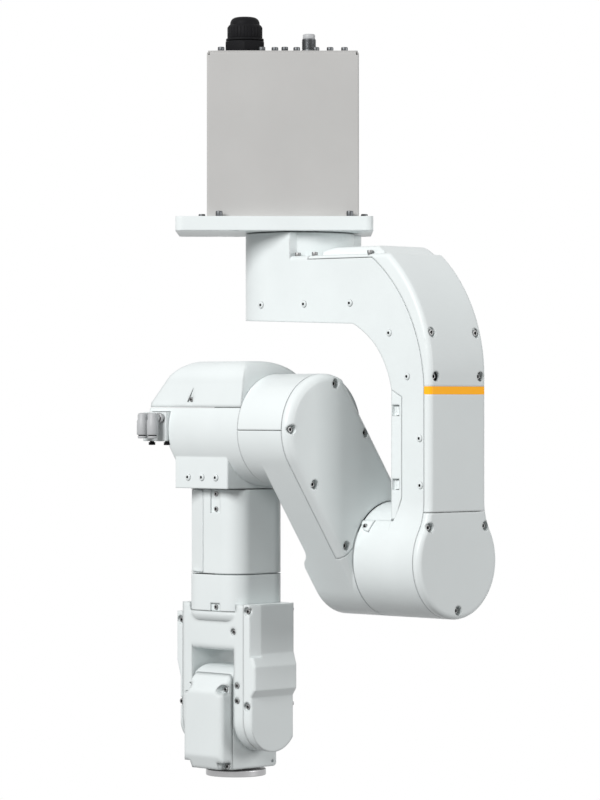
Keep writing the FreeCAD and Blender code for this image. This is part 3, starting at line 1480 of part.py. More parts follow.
cheek_half = s.fork_half + 2
frame_half = s.fork_gap + 5 + s.cheek_wall
bridge = block((-frame_half, frame_half), (-cheek_half, cheek_half), (50, lip))
collar_solid = slab("xy", box_outline(square, square, s.forearm_corner), lip - 10.5, lip)
collar_soft = rounded(collar_solid, Size.of(9), lambda m, t, e: m.z < lip.value - 10.4)
ring_room = inset(square, -s.seam)
ring_seat = slab("xy", box_outline(ring_room, ring_room, s.forearm_corner + s.seam), lip, fork_top + 1)
fork_cheeks = [
    cheek_view(cheek_half, fork_top, (s.fork_gap + 1, frame_half)),
    cheek_view(cheek_half, fork_top, (-frame_half, -s.fork_gap - 1)),
]
swing_radius = s.fork_swing - 1.3
swing = rod(swing_radius, "x", -s.fork_gap - 1, s.fork_gap + 1)
opening_top = root(swing_radius * swing_radius - cheek_half * cheek_half).value
bridge_soft = rounded(
    cut(bridge, swing),
    Size.of(6),
    lambda m, t, e: abs(t.x) > 0.99 and abs(m.z - opening_top) < 0.5,
)
fork_solid = fuse(bridge_soft, *fork_cheeks, cut(collar_soft, swing))
pin = s.j5_hub_radius + s.fit
reducer_x = (s.fork_gap + 1 + 1, s.fork_gap + 1 + s.j5_reducer_length - 2)
motor_z = s.j5_motor_level
motor_bore = rod(s.j5_motor_radius, "x", -frame_half, frame_half, (0, motor_z))
fork_wire = block((-14, 14), (-14, 14), (motor_z, fork_top))
front_sites = [
    ("y", -cheek_half + 2.5, -1, (30, 89.5)),
    ("y", -cheek_half + 1, -1, (36, 35)),
    ("y", -cheek_half + 1, -1, (36, 19.5)),
]
front_pockets = [rod(3.8, "y", -60, site[1], site[3]) for site in front_sites]
front_holes = screws("forearm_screws", front_sites, WRIST, Size.of(2.6), Size.of(1.4), Size.of(1.5), 4)
piece(
    "wrist_fork",
    cut(
        fork_solid,
        motor_bore,
        fork_wire,
        rod(pin, "x", -60, 60),
        rod(s.j5_reducer_radius, "x", *reducer_x),
        ring_seat,
        *front_pockets,
        *front_holes,
    ),
    WRIST,
)
piece(
    "j5_reducer",
    cut(rod(s.j5_reducer_radius, "x", *reducer_x), rod(pin, "x", 0, 80)),
    WRIST,
)
j5_motor = fuse(
    rod(s.j5_motor_radius, "x", -frame_half + 2, frame_half - 8, (0, motor_z)),
    rod(4, "x", frame_half - 8, frame_half + 5, (0, motor_z)),
)
piece("j5_motor", j5_motor, WRIST)

# Fork covers: the right one over the belt with a raised middle, the left one over the bearing
cover_inner = frame_half + s.fork_cover_gap


def fork_cover(edge_line, top, way):
    """A shell over one cheek, from its outline seen along y, with a bevelled back edge."""
    most = max((Size.of(x) for x, *_ in edge_line), key=lambda size: size.value)
    corners = [(cover_inner, -60), *edge_line, (cover_inner, top)]
    shifted = [(Size.of(x) - s.cover_bevel, z) for x, z in edge_line]
    back_corners = [(-60, -60), *shifted, (-60, top)]
    reach = (cover_inner, most)
    if way < 0:
        corners = [(-Size.of(x), z) for x, z in corners]
        back_corners = [(-Size.of(x), z) for x, z in back_corners]
        reach = (-most, -cover_inner)
    front_soft = rounded(
        slab("xz", corners, -cheek_half, cheek_half),
        s.cover_edge,
        lambda m, t, e: m.y < -32.9 and abs(m.x) > cover_inner.value + 1 and abs(t.x) < 0.9,
    )
    back_body = slab("xz", back_corners, -cheek_half, cheek_half)
    back_pad = back_body.Group[-1]
    back_pad.UseCustomVector = True
    back_pad.Direction = Vector(way, -1, 0)
    return common(front_soft, back_body, cheek_view(cheek_half, top, reach))


right_edge = [
    (s.fork_lower_reach, -60),
    (s.fork_lower_reach, 24),
    (s.fork_bulge_reach, 31),
    (s.fork_bulge_reach, 55),
    (s.fork_upper_reach, 68),
    (s.fork_upper_reach, fork_top),
]
right_solid = fork_cover(right_edge, fork_top, 1)
upper_bevel = slab(
    "xy",
    [
        (s.fork_upper_reach - 3, -cheek_half - 1),
        (80, -cheek_half - 1),
        (80, -19.6),
        (s.fork_upper_reach, -19.6),
        (s.fork_upper_reach - 3, -cheek_half),
    ],
    64,
    140,
)
cover_in = cheek_view(cheek_half - s.cover_wall - 8, fork_top - 6, (cover_inner, s.fork_lower_reach - s.cover_wall))
screw_x = cover_inner + 5
corner_levels = (14.5, fork_top - 6.5)
corner_depth = cheek_half - 3


def corner_screws(x, levels):
    """Screws along y in both corners of a fork cover; gives their pockets and holes."""
    sites = [("y", way * corner_depth, way, (x, z)) for z in levels for way in (-1, 1)]
    pockets = []
    for site in sites:
        span = sorted((site[1], Size.of(site[2] * 60)), key=lambda size: Size.of(size).value)
        pockets.append(rod(4.6, "y", *span, at=site[3]))
    holes = screws("forearm_screws", sites, WRIST, Size.of(2.8), Size.of(1.8), Size.of(1.5), 5)
    return pockets + holes


right_corners = corner_screws(screw_x, corner_levels)
piece("fork_cover_right", cut(right_solid, upper_bevel, cover_in, *right_corners), WRIST)
left_top = fork_top - s.left_cover_drop
left_edge = [
    (s.fork_left_lower, -60),
    (s.fork_left_lower, 40),
    (s.fork_left_upper, 57),
    (s.fork_left_upper, left_top),
]
left_solid = fork_cover(left_edge, left_top, -1)
left_in = block((-s.fork_left_upper + s.cover_wall, -cover_inner), (-22, 22), (60, left_top - 6))
left_corners = corner_screws(-cover_inner - 3, (14.5, left_top - 9))
piece("fork_cover_left", cut(left_solid, left_in, *left_corners), WRIST)

# Belt from the fifth joint's motor to its pulley
belt_x = (frame_half + 1, frame_half + 5)
pulley_radius = 14
belt_in = fuse(
    rod(pulley_radius + 0.4, "x", *belt_x),
    rod(4, "x", *belt_x, at=(0, motor_z)),
    slab("yz", [(-pulley_radius - 0.4, 0), (pulley_radius + 0.4, 0), (4, motor_z), (-4, motor_z)], *belt_x),
)
belt_out = fuse(
    rod(pulley_radius + 2, "x", *belt_x),
    rod(5.6, "x", *belt_x, at=(0, motor_z)),
    slab("yz", [(-pulley_radius - 2, 0), (pulley_radius + 2, 0), (5.6, motor_z), (-5.6, motor_z)], *belt_x),
)
piece("j5_belt", cut(belt_out, belt_in), WRIST)

# Wrist: a housing hung between the cheeks, with a domed cover in front
wrist_x = (-s.wrist_half + 1, s.wrist_half - 1)
wrist_top = 53.5
wrist_low = -s.wrist_bottom + 1.5
split = -s.wrist_split
front_face = -s.wrist_front
back_face = s.wrist_back
dome_low = wrist_top - 7
housing_view = [
    (split + 0.3, wrist_low),
    (back_face - 4, wrist_low, 4, "left"),
    (back_face, wrist_low + 4),
    (back_face, wrist_top - 24, 24, "left"),
    (back_face - 24, wrist_top),
    (-12, wrist_top, 30, "left"),
    (split + 0.3, dome_low),
]
cover_view = [
    (front_face + 6, wrist_low + 0.5),
    (split - 0.3, wrist_low + 0.5),
    (split - 0.3, dome_low),
    (split - 4.5, dome_low - 4),
    (front_face, 28.5),
    (front_face, -37.5),
]
housing_blank = rounded(
    slab("yz", housing_view, *wrist_x),
    Size.of(2),
    lambda m, t, e: abs(abs(m.x) - wrist_x[1].value) < 0.1 and m.z > wrist_low.value + 1 and m.y > split.value + 1,
)
wrist_in = slab(
    "yz",
    [
        (split, wrist_low + s.wrist_wall),
        (back_face - s.wrist_wall, wrist_low + s.wrist_wall),
        (back_face - s.wrist_wall, 28),
        (10, wrist_top - s.wrist_wall),
        (-12, wrist_top - s.wrist_wall),
        (split, dome_low - s.wrist_wall),
    ],
    wrist_x[0] + s.wrist_wall,
    wrist_x[1] - s.wrist_wall,
)
cover_blank = rounded(
    slab("yz", cover_view, *wrist_x),
    s.wrist_edge,
    lambda m, t, e: m.y < split.value - 1
    and m.z > -44
    and (abs(m.x) > 20 and abs(t.x) < 0.1 and m.y < -33 or abs(t.x) > 0.9 and abs(m.z - 28.5) < 1),
)
cover_hollow = slab(
    "yz",
    [
        (front_face + s.wrist_wall + 4, -38),
        (split, -38),
        (split, dome_low - s.wrist_wall - 2),
        (split - 5, dome_low - s.wrist_wall - 6),
        (front_face + s.wrist_wall, 24),
        (front_face + s.wrist_wall, -34),
    ],
    wrist_x[0] + s.wrist_wall,
    wrist_x[1] - s.wrist_wall,
)
wrist_sites = []
wrist_pockets = []
wrist_posts = []
for way in (-1, 1):
    upper_at, lower_at = (way * 24.4, 31), (way * 24.4, -47.5)
    wrist_sites += [("y", -37, -1, upper_at), ("y", -34.5, -1, lower_at)]
    wrist_pockets.append(rod(s.pocket_radius, "y", -60, -37, at=upper_at))
    span = sorted((way * 20, way * 40))
    wrist_pockets.append(block(span, (-60, -34.5), (-60, -43.5)))
    wrist_posts.append(rod(s.pocket_radius + 2.5, "y", -60, -30, at=upper_at))
wrist_holes = screws("wrist_screws", wrist_sites, WRIST, Size.of(2.8), Size.of(1.8), Size.of(1.4), 2.6)
cover_solid = cut(cover_blank, cut(cover_hollow, *wrist_posts))
piece("wrist_cover", cut(cover_solid, *wrist_pockets, *wrist_holes), WRIST)
j6_bearing = s.flange_hub_radius + s.fit
j6_reducer_low = wrist_low + s.wrist_wall
j6_reducer_top = j6_reducer_low + s.j6_reducer_length
trunnion = rod(s.j5_hub_radius, "x", -frame_half, wrist_x[0] + s.wrist_wall)
piece(
    "wrist_housing",
    cut(
        fuse(cut(housing_blank, wrist_in), trunnion),
        rod(7, "x", -frame_half, wrist_x[0] + s.wrist_wall),
        rod(s.j5_hub_radius, "x", 0, wrist_x[1]),
        rod(s.flange_hub_radius + 1.5, "z", wrist_low, j6_reducer_low),
        rod(1.6, "x", wrist_x[1] - 2.5, wrist_x[1], (25, -46)),
    ),
    WRIST,
)
pulley_hub = fuse(
    rod(s.j5_hub_radius, "x", wrist_x[1] - s.wrist_wall, belt_x[0]),
    rod(pulley_radius, "x", *belt_x),
    rod(s.j5_hub_radius + 4, "x", wrist_x[1] - s.wrist_wall - 4, wrist_x[1] - s.wrist_wall),
)
piece("j5_pulley", cut(pulley_hub, rod(5, "x", 0, 80)), WRIST)
piece(
    "j6_reducer",
    cut(
        rod(s.j6_reducer_radius - 1, "z", j6_reducer_low, j6_reducer_top),
        rod(j6_bearing, "z", j6_reducer_low, j6_reducer_top),
    ),
    WRIST,
)
j6_motor_top = j6_reducer_top + s.j6_motor_length
j6_motor = fuse(
    rod(s.j6_motor_radius - 2, "z", j6_reducer_top, j6_motor_top - 6),
    rod(s.j6_motor_radius - 6, "z", j6_motor_top - 6, j6_motor_top),
)
piece("j6_motor", j6_motor, WRIST)

# Tool flange with its bolt circle, centring bore and pin hole
flange_top = wrist_low - s.joint_gap - 1
flange_low = flange_top - s.flange_height
flange_disc = rounded(
    rod(s.flange_radius + 0.5, "z", flange_low, flange_top),
    s.flange_edge,
    lambda m, t, e: True,
)
tool_holes = []
for turn in range(4):
    angle = math.radians(45 + 90 * turn)
    at = (s.tool_circle / 2 * math.cos(angle), s.tool_circle / 2 * math.sin(angle))
    tool_holes.append(rod(s.tool_hole_radius, "z", flange_low, flange_low + s.tool_hole_depth, at))
tool_holes.append(
    rod(s.tool_pin_radius, "z", flange_low, flange_low + s.tool_hole_depth, (s.tool_pin_reach, 0))
)
flange_hub = rod(s.flange_hub_radius, "z", flange_top, j6_reducer_top - s.hub_slack)
piece(
    "tool_flange",
    cut(
        fuse(flange_disc, flange_hub),
        rod(s.tool_bore_radius, "z", flange_low, flange_low + s.tool_bore_depth),
        *tool_holes,
    ),
    WRIST,
)

for label, groups in SCREW_GROUPS.items():
    piece(label, bundle(*groups))

# Check every object, then write one file for each piece
doc.recompute()
for thing in doc.Objects:
    if "Invalid" in thing.State or "Error" in thing.State:
        raise RuntimeError(f"{thing.Label} did not compute")
os.makedirs("parts", exist_ok=True)
for thing in PIECES:
    if thing.Shape.isNull() or not thing.Shape.isValid():
        raise RuntimeError(f"{thing.Label} has no valid shape")
for thing in PIECES:
    thing.Shape.exportStep(f"parts/{thing.Label}.step")
print(len(PIECES), "pieces written")
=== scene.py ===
import json
import math

import bmesh
import bpy
from mathutils import Matrix, Vector


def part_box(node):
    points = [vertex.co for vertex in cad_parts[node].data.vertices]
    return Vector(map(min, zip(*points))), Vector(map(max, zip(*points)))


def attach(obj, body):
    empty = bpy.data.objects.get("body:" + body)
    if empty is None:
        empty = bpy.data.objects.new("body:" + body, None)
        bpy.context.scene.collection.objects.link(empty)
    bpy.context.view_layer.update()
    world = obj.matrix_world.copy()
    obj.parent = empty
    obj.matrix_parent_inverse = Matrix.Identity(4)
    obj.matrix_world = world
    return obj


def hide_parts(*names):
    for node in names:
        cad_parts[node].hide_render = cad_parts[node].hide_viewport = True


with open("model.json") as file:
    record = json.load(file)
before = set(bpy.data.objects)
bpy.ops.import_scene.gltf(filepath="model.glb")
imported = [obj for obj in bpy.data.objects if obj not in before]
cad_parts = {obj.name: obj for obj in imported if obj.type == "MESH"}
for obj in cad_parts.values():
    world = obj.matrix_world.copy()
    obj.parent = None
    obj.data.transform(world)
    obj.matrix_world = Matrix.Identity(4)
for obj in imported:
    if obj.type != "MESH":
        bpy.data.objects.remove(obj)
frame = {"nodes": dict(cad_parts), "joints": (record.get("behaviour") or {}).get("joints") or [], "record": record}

bl_info = {
    "name": "Folding robot arm looks",
    "version": (1, 0, 0),
    "blender": (4, 5, 0),
    "location": "View3D > Sidebar > Robot arm",
    "description": "Finishes, screws and small fittings of a ceiling-mounted folding robot arm",
    "category": "Add Mesh",
}

# Nodes of the frame, with the body and the material slot of each
NODES = frame["nodes"]
BODIES = frame["record"]["behaviour"]["bodies"]
BODY_OF = {member: body for body, members in BODIES.items() for member in members}
SLOT_OF = {entry["node"]: entry["material_slot"] for entry in frame["record"]["subparts"]}

UP = Vector((0, 0, 1))
DOWN = Vector((0, 0, -1))

# Axes of the joints and placements of the arms at rest
JOINTS = {joint["name"]: joint for joint in frame["joints"]}
AXIS_2 = Vector(JOINTS["j2_swing"]["pos_m"])
AXIS_3 = Vector(JOINTS["j3_elbow"]["pos_m"])
ALONG = Vector(JOINTS["j2_swing"]["axis"])
ACROSS = UP.cross(ALONG)
ARM = Matrix((ALONG, ACROSS, UP)).transposed().to_4x4()
ELBOW = Matrix.Translation(AXIS_3) @ ARM

# The second arm leans from the vertical about its own axis
LEAN = math.atan2(-(AXIS_3 - AXIS_2).dot(ACROSS), (AXIS_3 - AXIS_2).z)
SECOND_ARM = Matrix.Translation(AXIS_2) @ ARM @ Matrix.Rotation(LEAN, 4, "X")


class RobotColours(bpy.types.PropertyGroup):
    """Colours of the finishes"""

    casting: bpy.props.FloatVectorProperty(
        name="Castings",
        description="Paint of the cast arms",
        subtype="COLOR",
        default=(0.805, 0.85, 0.85),
    )
    cover: bpy.props.FloatVectorProperty(
        name="Covers",
        description="Moulded covers",
        subtype="COLOR",
        default=(0.83, 0.875, 0.875),
    )
    sheet: bpy.props.FloatVectorProperty(
        name="Sheet metal",
        description="Paint of the base cover",
        subtype="COLOR",
        default=(0.50, 0.495, 0.485),
    )
    band: bpy.props.FloatVectorProperty(
        name="Band",
        description="Band across the spine",
        subtype="COLOR",
        default=(1.0, 0.44, 0.015),
    )
    black: bpy.props.FloatVectorProperty(
        name="Black plastic",
        description="Gland and plugs",
        subtype="COLOR",
        default=(0.010, 0.010, 0.011),
    )
    fitting: bpy.props.FloatVectorProperty(
        name="Air fittings",
        description="Push-in fittings and caps",
        subtype="COLOR",
        default=(0.50, 0.51, 0.52),
    )
    screw: bpy.props.FloatVectorProperty(
        name="Screws",
        description="Blackened screws",
        subtype="COLOR",
        default=(0.11, 0.115, 0.12),
    )
    silver: bpy.props.FloatVectorProperty(
        name="Flange",
        description="Machined tool flange",
        subtype="COLOR",
        default=(0.40, 0.40, 0.405),
    )


class RobotSizes(bpy.types.PropertyGroup):
    """Sizes of the detailed fittings and of the broken edges"""

    gland_lift: bpy.props.FloatProperty(
        name="Gland lift",
        description="Height that the cable gland gains over its solids",
        default=0.0044,
        precision=4,
        unit="LENGTH",
    )
    nut_grooves: bpy.props.IntProperty(
        name="Grooves of the nut",
        description="Grip grooves around the nut of the cable gland",
        default=30,
        min=3,
    )
    thread_pitch: bpy.props.FloatProperty(
        name="Thread pitch",
        description="Pitch of the round connector's thread",
        default=0.0011,
        precision=4,
        unit="LENGTH",
    )
    plug_head: bpy.props.FloatProperty(
        name="Plug head",
        description="Height of the plugs under the block of the air fittings",
        default=0.003,
        precision=4,
        unit="LENGTH",
    )
    casting_edge: bpy.props.FloatProperty(
        name="Casting edges",
        description="Radius to which the edges of castings shade",
        default=0.0022,
        precision=4,
        unit="LENGTH",
    )
    cover_edge: bpy.props.FloatProperty(
        name="Cover edges",
        description="Radius to which the edges of covers shade",
        default=0.0028,
        precision=4,
        unit="LENGTH",
    )
    soft_edge: bpy.props.FloatProperty(
        name="Soft edges",
        description="Radius to which the edges of the hood, fork and wrist cover shade",
        default=0.006,
        precision=4,
        unit="LENGTH",
    )


class RobotStage(bpy.types.PropertyGroup):
    """Lamps, surroundings and lens"""

    key_power: bpy.props.FloatProperty(
        name="Key lamp",
        description="Power of the lamp at the left",
        default=124,
        unit="POWER",
    )
    fill_power: bpy.props.FloatProperty(
        name="Fill lamp",
        description="Power of the lamp at the right",
        default=42,
        unit="POWER",
    )
    surroundings: bpy.props.FloatProperty(
        name="Surroundings",
        description="Strength of the white light from all sides",
        default=0.22,
    )
    lens: bpy.props.FloatProperty(
        name="Lens",
        description="Focal length in millimetres",
        default=157.5,
        unit="CAMERA",
    )


# Finishes

# Part of a noise's range that a ramp or span spreads over
LOW_NOISE = 0.3
HIGH_NOISE = 0.7

# Colours of small and inner pieces, and of the painted shade at the foot of button screws and inside screw sockets
# Painted shade for the foot of button screw heads
PAINTED_RIM_SHADE = (0.22, 0.22, 0.22)
SCREW_STEEL = (0.27, 0.27, 0.27)
# Near-black painted shade for the inside of screw sockets
PAINTED_SOCKET_SHADE = (0.012, 0.012, 0.013)
BARE_STEEL = (0.50, 0.50, 0.51)
MOTOR_BLACK = (0.04, 0.04, 0.045)
RUBBER_BLACK = (0.02, 0.02, 0.02)
BOARD_GREEN = (0.02, 0.12, 0.05)

# Stretch of tool marks that run no particular way, along a turned piece and round the flange
EVEN = (1, 1, 1)
TURNED = (1, 1, 40)
FLANGE_MARKS = (1, 1, 60)

# Scales of the noises: clouds in a paint, patches of gloss, tool marks and patches on metal
CLOUDS = 14.0
GLOSS = 45.0
MARKS = 320.0
PATCHES = 90.0

EDGE_SAMPLES = 6


def finish_nodes(name, metallic, roughness):
    """A material with a principled shader, and its tree and shader."""
    material = bpy.data.materials.new(name)
    material.use_nodes = True
    tree = material.node_tree
    shader = tree.nodes["Principled BSDF"]
    shader.inputs["Metallic"].default_value = metallic
    shader.inputs["Roughness"].default_value = roughness
    return material, tree, shader


def noise(tree, scale, detail=3.0, stretch=None):
    """Noise on the piece's own coordinates."""
    source = tree.nodes.new("ShaderNodeTexCoord").outputs["Object"]
    if stretch:
        mapping = tree.nodes.new("ShaderNodeMapping")
        mapping.inputs["Scale"].default_value = stretch
        tree.links.new(source, mapping.inputs["Vector"])
        source = mapping.outputs["Vector"]
    texture = tree.nodes.new("ShaderNodeTexNoise")
    texture.inputs["Scale"].default_value = scale
    texture.inputs["Detail"].default_value = detail
    tree.links.new(source, texture.inputs["Vector"])
    return texture.outputs["Fac"]


def ramp(tree, source, low, high):
    """Turn a factor into a colour between two colours."""
    node = tree.nodes.new("ShaderNodeValToRGB")
    node.color_ramp.elements[0].position = LOW_NOISE
    node.color_ramp.elements[1].position = HIGH_NOISE
    node.color_ramp.elements[0].color = (*low, 1)
    node.color_ramp.elements[1].color = (*high, 1)
    tree.links.new(source, node.inputs["Fac"])
    return node.outputs["Color"]


def span(tree, source, low, high):
    """Turn a factor into a value between two values."""
    node = tree.nodes.new("ShaderNodeMapRange")
    node.inputs["From Min"].default_value = LOW_NOISE
    node.inputs["From Max"].default_value = HIGH_NOISE
    node.inputs["To Min"].default_value = low
    node.inputs["To Max"].default_value = high
    tree.links.new(source, node.inputs["Value"])
    return node.outputs["Result"]


def bump(tree, shader, source, strength, depth, edge=0.0009):
    """Fine relief over edges that shade as if broken by the given radius."""
    node = tree.nodes.new("ShaderNodeBump")
    broken = tree.nodes.new("ShaderNodeBevel")
    broken.samples = EDGE_SAMPLES
    broken.inputs["Radius"].default_value = edge
    tree.links.new(broken.outputs["Normal"], node.inputs["Normal"])
    node.inputs["Strength"].default_value = strength
    node.inputs["Distance"].default_value = depth
    tree.links.new(source, node.inputs["Height"])
    tree.links.new(node.outputs["Normal"], shader.inputs["Normal"])


def toned(colour, share):
    """A colour made lighter or darker by a share."""
    return tuple(min(1.0, max(0.0, part * share)) for part in colour)


def paint(
    name, colour, roughness, peel=1400, depth=0.00006, tone=0.025, edge=0.0006, shine=0.3, painted_glow=0.0
):
    """Sprayed or moulded surface: faint cloudiness, uneven gloss, a fine skin and broken edges, and a painted glow
    in its own colour where one is given.
    """
    material, tree, shader = finish_nodes(name, 0.0, roughness)
    # Emission in the paint's own colour is a painted glow; the surface is no lamp
    shader.inputs["Emission Color"].default_value = (*colour, 1)
    shader.inputs["Emission Strength"].default_value = painted_glow
    shader.inputs["Specular IOR Level"].default_value = shine
    cloud = noise(tree, CLOUDS, 4.0)
    tree.links.new(
        ramp(tree, cloud, toned(colour, 1 - tone), toned(colour, 1 + tone)),
        shader.inputs["Base Color"],
    )
    tree.links.new(
        span(tree, noise(tree, GLOSS), roughness - 0.04, roughness + 0.05),
        shader.inputs["Roughness"],
    )
    bump(tree, shader, noise(tree, peel, 2.0), 0.25, depth, edge)
    return material


def machined(name, colour, roughness, stretch=TURNED):
    """Bare metal with fine tool marks."""
    material, tree, shader = finish_nodes(name, 1.0, roughness)
    marks = noise(tree, MARKS, 3.0, stretch)
    tree.links.new(
        ramp(tree, marks, toned(colour, 0.88), toned(colour, 1.08)), shader.inputs["Base Color"]
    )
    tree.links.new(
        span(tree, noise(tree, PATCHES), roughness - 0.05, roughness + 0.08),
        shader.inputs["Roughness"],
    )
    bump(tree, shader, marks, 0.2, 0.00003)
    return material


def make_finishes():
    """One material for each slot of the record, and those of the painted shade inside screw sockets and at the
    foot of button screws.
    """
    colours = bpy.context.scene.robot_colours
    sizes = bpy.context.scene.robot_sizes
    return {
        "white_casting": paint(
            "Casting paint", colours.casting, 0.40, 1100, 0.00008, edge=sizes.casting_edge
        ),
        "soft_casting": paint("Soft casting", colours.casting, 0.38, edge=sizes.soft_edge),
        "white_cover": paint(
            "Cover plastic", colours.cover, 0.33, 1800, 0.00004, 0.015, sizes.cover_edge
        ),
        "grey_sheet": paint("Sheet metal paint", colours.sheet, 0.48, 900, 0.00009, 0.03),
        # The band gets a painted glow, which makes it brighter than the light falling on it
        "orange_plastic": paint(
            "Band", colours.band, 0.4, 1800, 0.00004, 0.04, shine=0.15, painted_glow=0.25
        ),
        "black_plastic": paint(
            "Black plastic", colours.black, 0.55, 700, 0.0001, 0.15, edge=0.0004, shine=0.06
        ),
        # Painted shade at the foot of button screw heads
        "button_rim_painted_shade": paint("Button rim shade", PAINTED_RIM_SHADE, 0.6, 700, 0.00005, 0.1),
        "grey_plastic": paint("Fitting plastic", colours.fitting, 0.38, 1500, 0.00004, 0.04),
        "screw_steel": machined("Screw steel", SCREW_STEEL, 0.36, EVEN),
        # Painted shade inside screw sockets
        "socket_painted_shade": paint("Socket shade", PAINTED_SOCKET_SHADE, 0.7, 700, 0.00005, 0.15, shine=0.1),
        "dark_metal": machined("Blackened screw", colours.screw, 0.38, EVEN),
        "bare_metal": machined("Machined steel", BARE_STEEL, 0.30),
        "motor_metal": paint("Motor housing", MOTOR_BLACK, 0.45, 500, 0.0001, 0.1),
        "silver_flange": machined("Machined flange", colours.silver, 0.34, FLANGE_MARKS),
        "belt_rubber": paint("Belt rubber", RUBBER_BLACK, 0.75, 900, 0.0002, 0.2),
        "green_board": paint("Board laminate", BOARD_GREEN, 0.4, 600, 0.00005, 0.1),
    }


FINISH = {}


# Reading places from the frame

# Points nearer than this are one point of a solid
MERGE = 0.00001

# Points past this share of a screw's radius belong to its head
RIM_SHARE = 0.93


def loose_parts(name):
    """Points of each solid of a node, in metres."""
    net = bmesh.new()
    net.from_mesh(NODES[name].data)
    bmesh.ops.remove_doubles(net, verts=net.verts, dist=MERGE)
    found = set()
    parts = []
    for first in net.verts:
        if first in found:
            continue
        found.add(first)
        waiting = [first]
        part = []
        while waiting:
            point = waiting.pop()
            part.append(point.co.copy())
            for edge in point.link_edges:
                other = edge.other_vert(point)
                if other not in found:
                    found.add(other)
                    waiting.append(other)
        parts.append(part)
    net.free()
    return parts


# Directions in which screws are driven
SCREW_LINES = [UP, ALONG, ACROSS]
SCREW_LINES += [(SECOND_ARM.to_3x3() @ Vector(line)) for line in ((0, 1, 0), (0, 0, 1))]


def spread(points, line):
    """Radius about the line through the middle of some points, and that middle."""
    side = line.orthogonal().normalized()
    other = line.cross(side)
    middle = Vector((0, 0, 0))
    for axis in (side, other):
        reach = [point.dot(axis) for point in points]
        middle += axis * (max(reach) + min(reach)) / 2
    radius = max((point - middle - line * point.dot(line)).length for point in points)
    return radius, middle


def screw_places(name):
    """Seat, outward direction, and radius and height of the head of each screw of a node."""
    places = []
    for points in loose_parts(name):
        line = min(SCREW_LINES, key=lambda item: spread(points, item)[0])
        radius, middle = spread(points, line)
        heights = [point.dot(line) for point in points]
        head = [
            point.dot(line)
            for point in points
            if (point - middle - line * point.dot(line)).length > radius * RIM_SHARE
        ]
        if sum(head) / len(head) < (max(heights) + min(heights)) / 2:
            line = -line
            heights = [-height for height in heights]
            head = [-height for height in head]
        seat = min(head)
        places.append((middle + line * seat, line, radius, max(heights) - seat))
    return places


# Modelling


def choose(active, *others):
    """Select only the given pieces, with the first one active."""
    bpy.ops.object.select_all(action="DESELECT")
    for piece in (active, *others):
        piece.select_set(True)
    bpy.context.view_layer.objects.active = active


def edit_faces(piece, chosen):
    """Enter edit mode with the chosen faces selected."""
    choose(piece)
    bpy.ops.object.mode_set(mode="EDIT")
    bpy.ops.mesh.select_mode(type="FACE")
    bpy.ops.mesh.select_all(action="DESELECT")
    net = bmesh.from_edit_mesh(piece.data)
    for face in net.faces:
        if chosen(face.calc_center_median(), face.normal):
            face.select_set(True)
    bmesh.update_edit_mesh(piece.data)


def leave_edit():
    """Go back from edit mode to the object."""
    bpy.ops.object.mode_set(mode="OBJECT")


def drum(name, radius, low, high, sides=48):
    """A cylinder about the vertical through the origin."""
    bpy.ops.object.select_all(action="DESELECT")
    bpy.ops.mesh.primitive_cylinder_add(
        vertices=sides, radius=radius, depth=high - low, location=(0, 0, (low + high) / 2)
    )
    piece = bpy.context.active_object
    piece.name = name
    bpy.ops.object.transform_apply(location=True, rotation=True, scale=True)
    return piece


def apply_modifier(piece, kind, **values):
    """Add a modifier to a piece and apply it."""
    choose(piece)
    modifier = piece.modifiers.new(kind.title(), kind)
    for key, value in values.items():
        setattr(modifier, key, value)
    bpy.ops.object.modifier_apply(modifier=modifier.name)


def soften(piece, width, segments=2, angle=35):
    """Round the edges of a piece that are sharper than an angle, and shade it smooth."""
    apply_modifier(
        piece,
        "BEVEL",
        width=width,
        segments=segments,
        limit_method="ANGLE",
        angle_limit=math.radians(angle),
    )
    shade(piece)


def shade(piece, angle=32):
    """Shade a piece smooth over edges flatter than an angle."""
    choose(piece)
    bpy.ops.object.shade_smooth_by_angle(angle=math.radians(angle))


def raise_face(piece, level, inset, height):
    """Inset the face at a level and extrude it up, or down where the height is negative."""
    edit_faces(piece, lambda middle, normal: abs(middle.z - level) < 1e-6 and abs(normal.z) > 0.9)
    bpy.ops.mesh.inset(thickness=inset)
    bpy.ops.mesh.extrude_region_move(TRANSFORM_OT_translate={"value": (0, 0, height)})
    leave_edit()


def copies(master, name, places):
    """Copies of a model, each with its own mesh, joined as one piece."""
    made = []
    for place in places:
        other = bpy.data.objects.new(name, master.data.copy())
        bpy.context.scene.collection.objects.link(other)
        other.data.transform(place)
        made.append(other)
    choose(*made)
    bpy.ops.object.join()
    made[0].name = name
    return made[0]


def upright(seat, line, scale=(1, 1, 1)):
    """Placement that lays the vertical along a line at a seat."""
    turn = line.to_track_quat("Z", "Y").to_matrix().to_4x4()
    return Matrix.Translation(seat) @ turn @ Matrix.Diagonal((*scale, 1))


def stand_for(piece, node):
    """Let a piece ride on the body of the node that it replaces."""
    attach(piece, BODY_OF[node])
    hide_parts(node)


def local_box(name, place):
    """Lowest and highest corners of a node in a frame of its own."""
    back = place.inverted()
    points = [back @ vertex.co for vertex in NODES[name].data.vertices]
    low = [min(point[axis] for point in points) for axis in range(3)]
    high = [max(point[axis] for point in points) for axis in range(3)]
    return Vector(low), Vector(high)


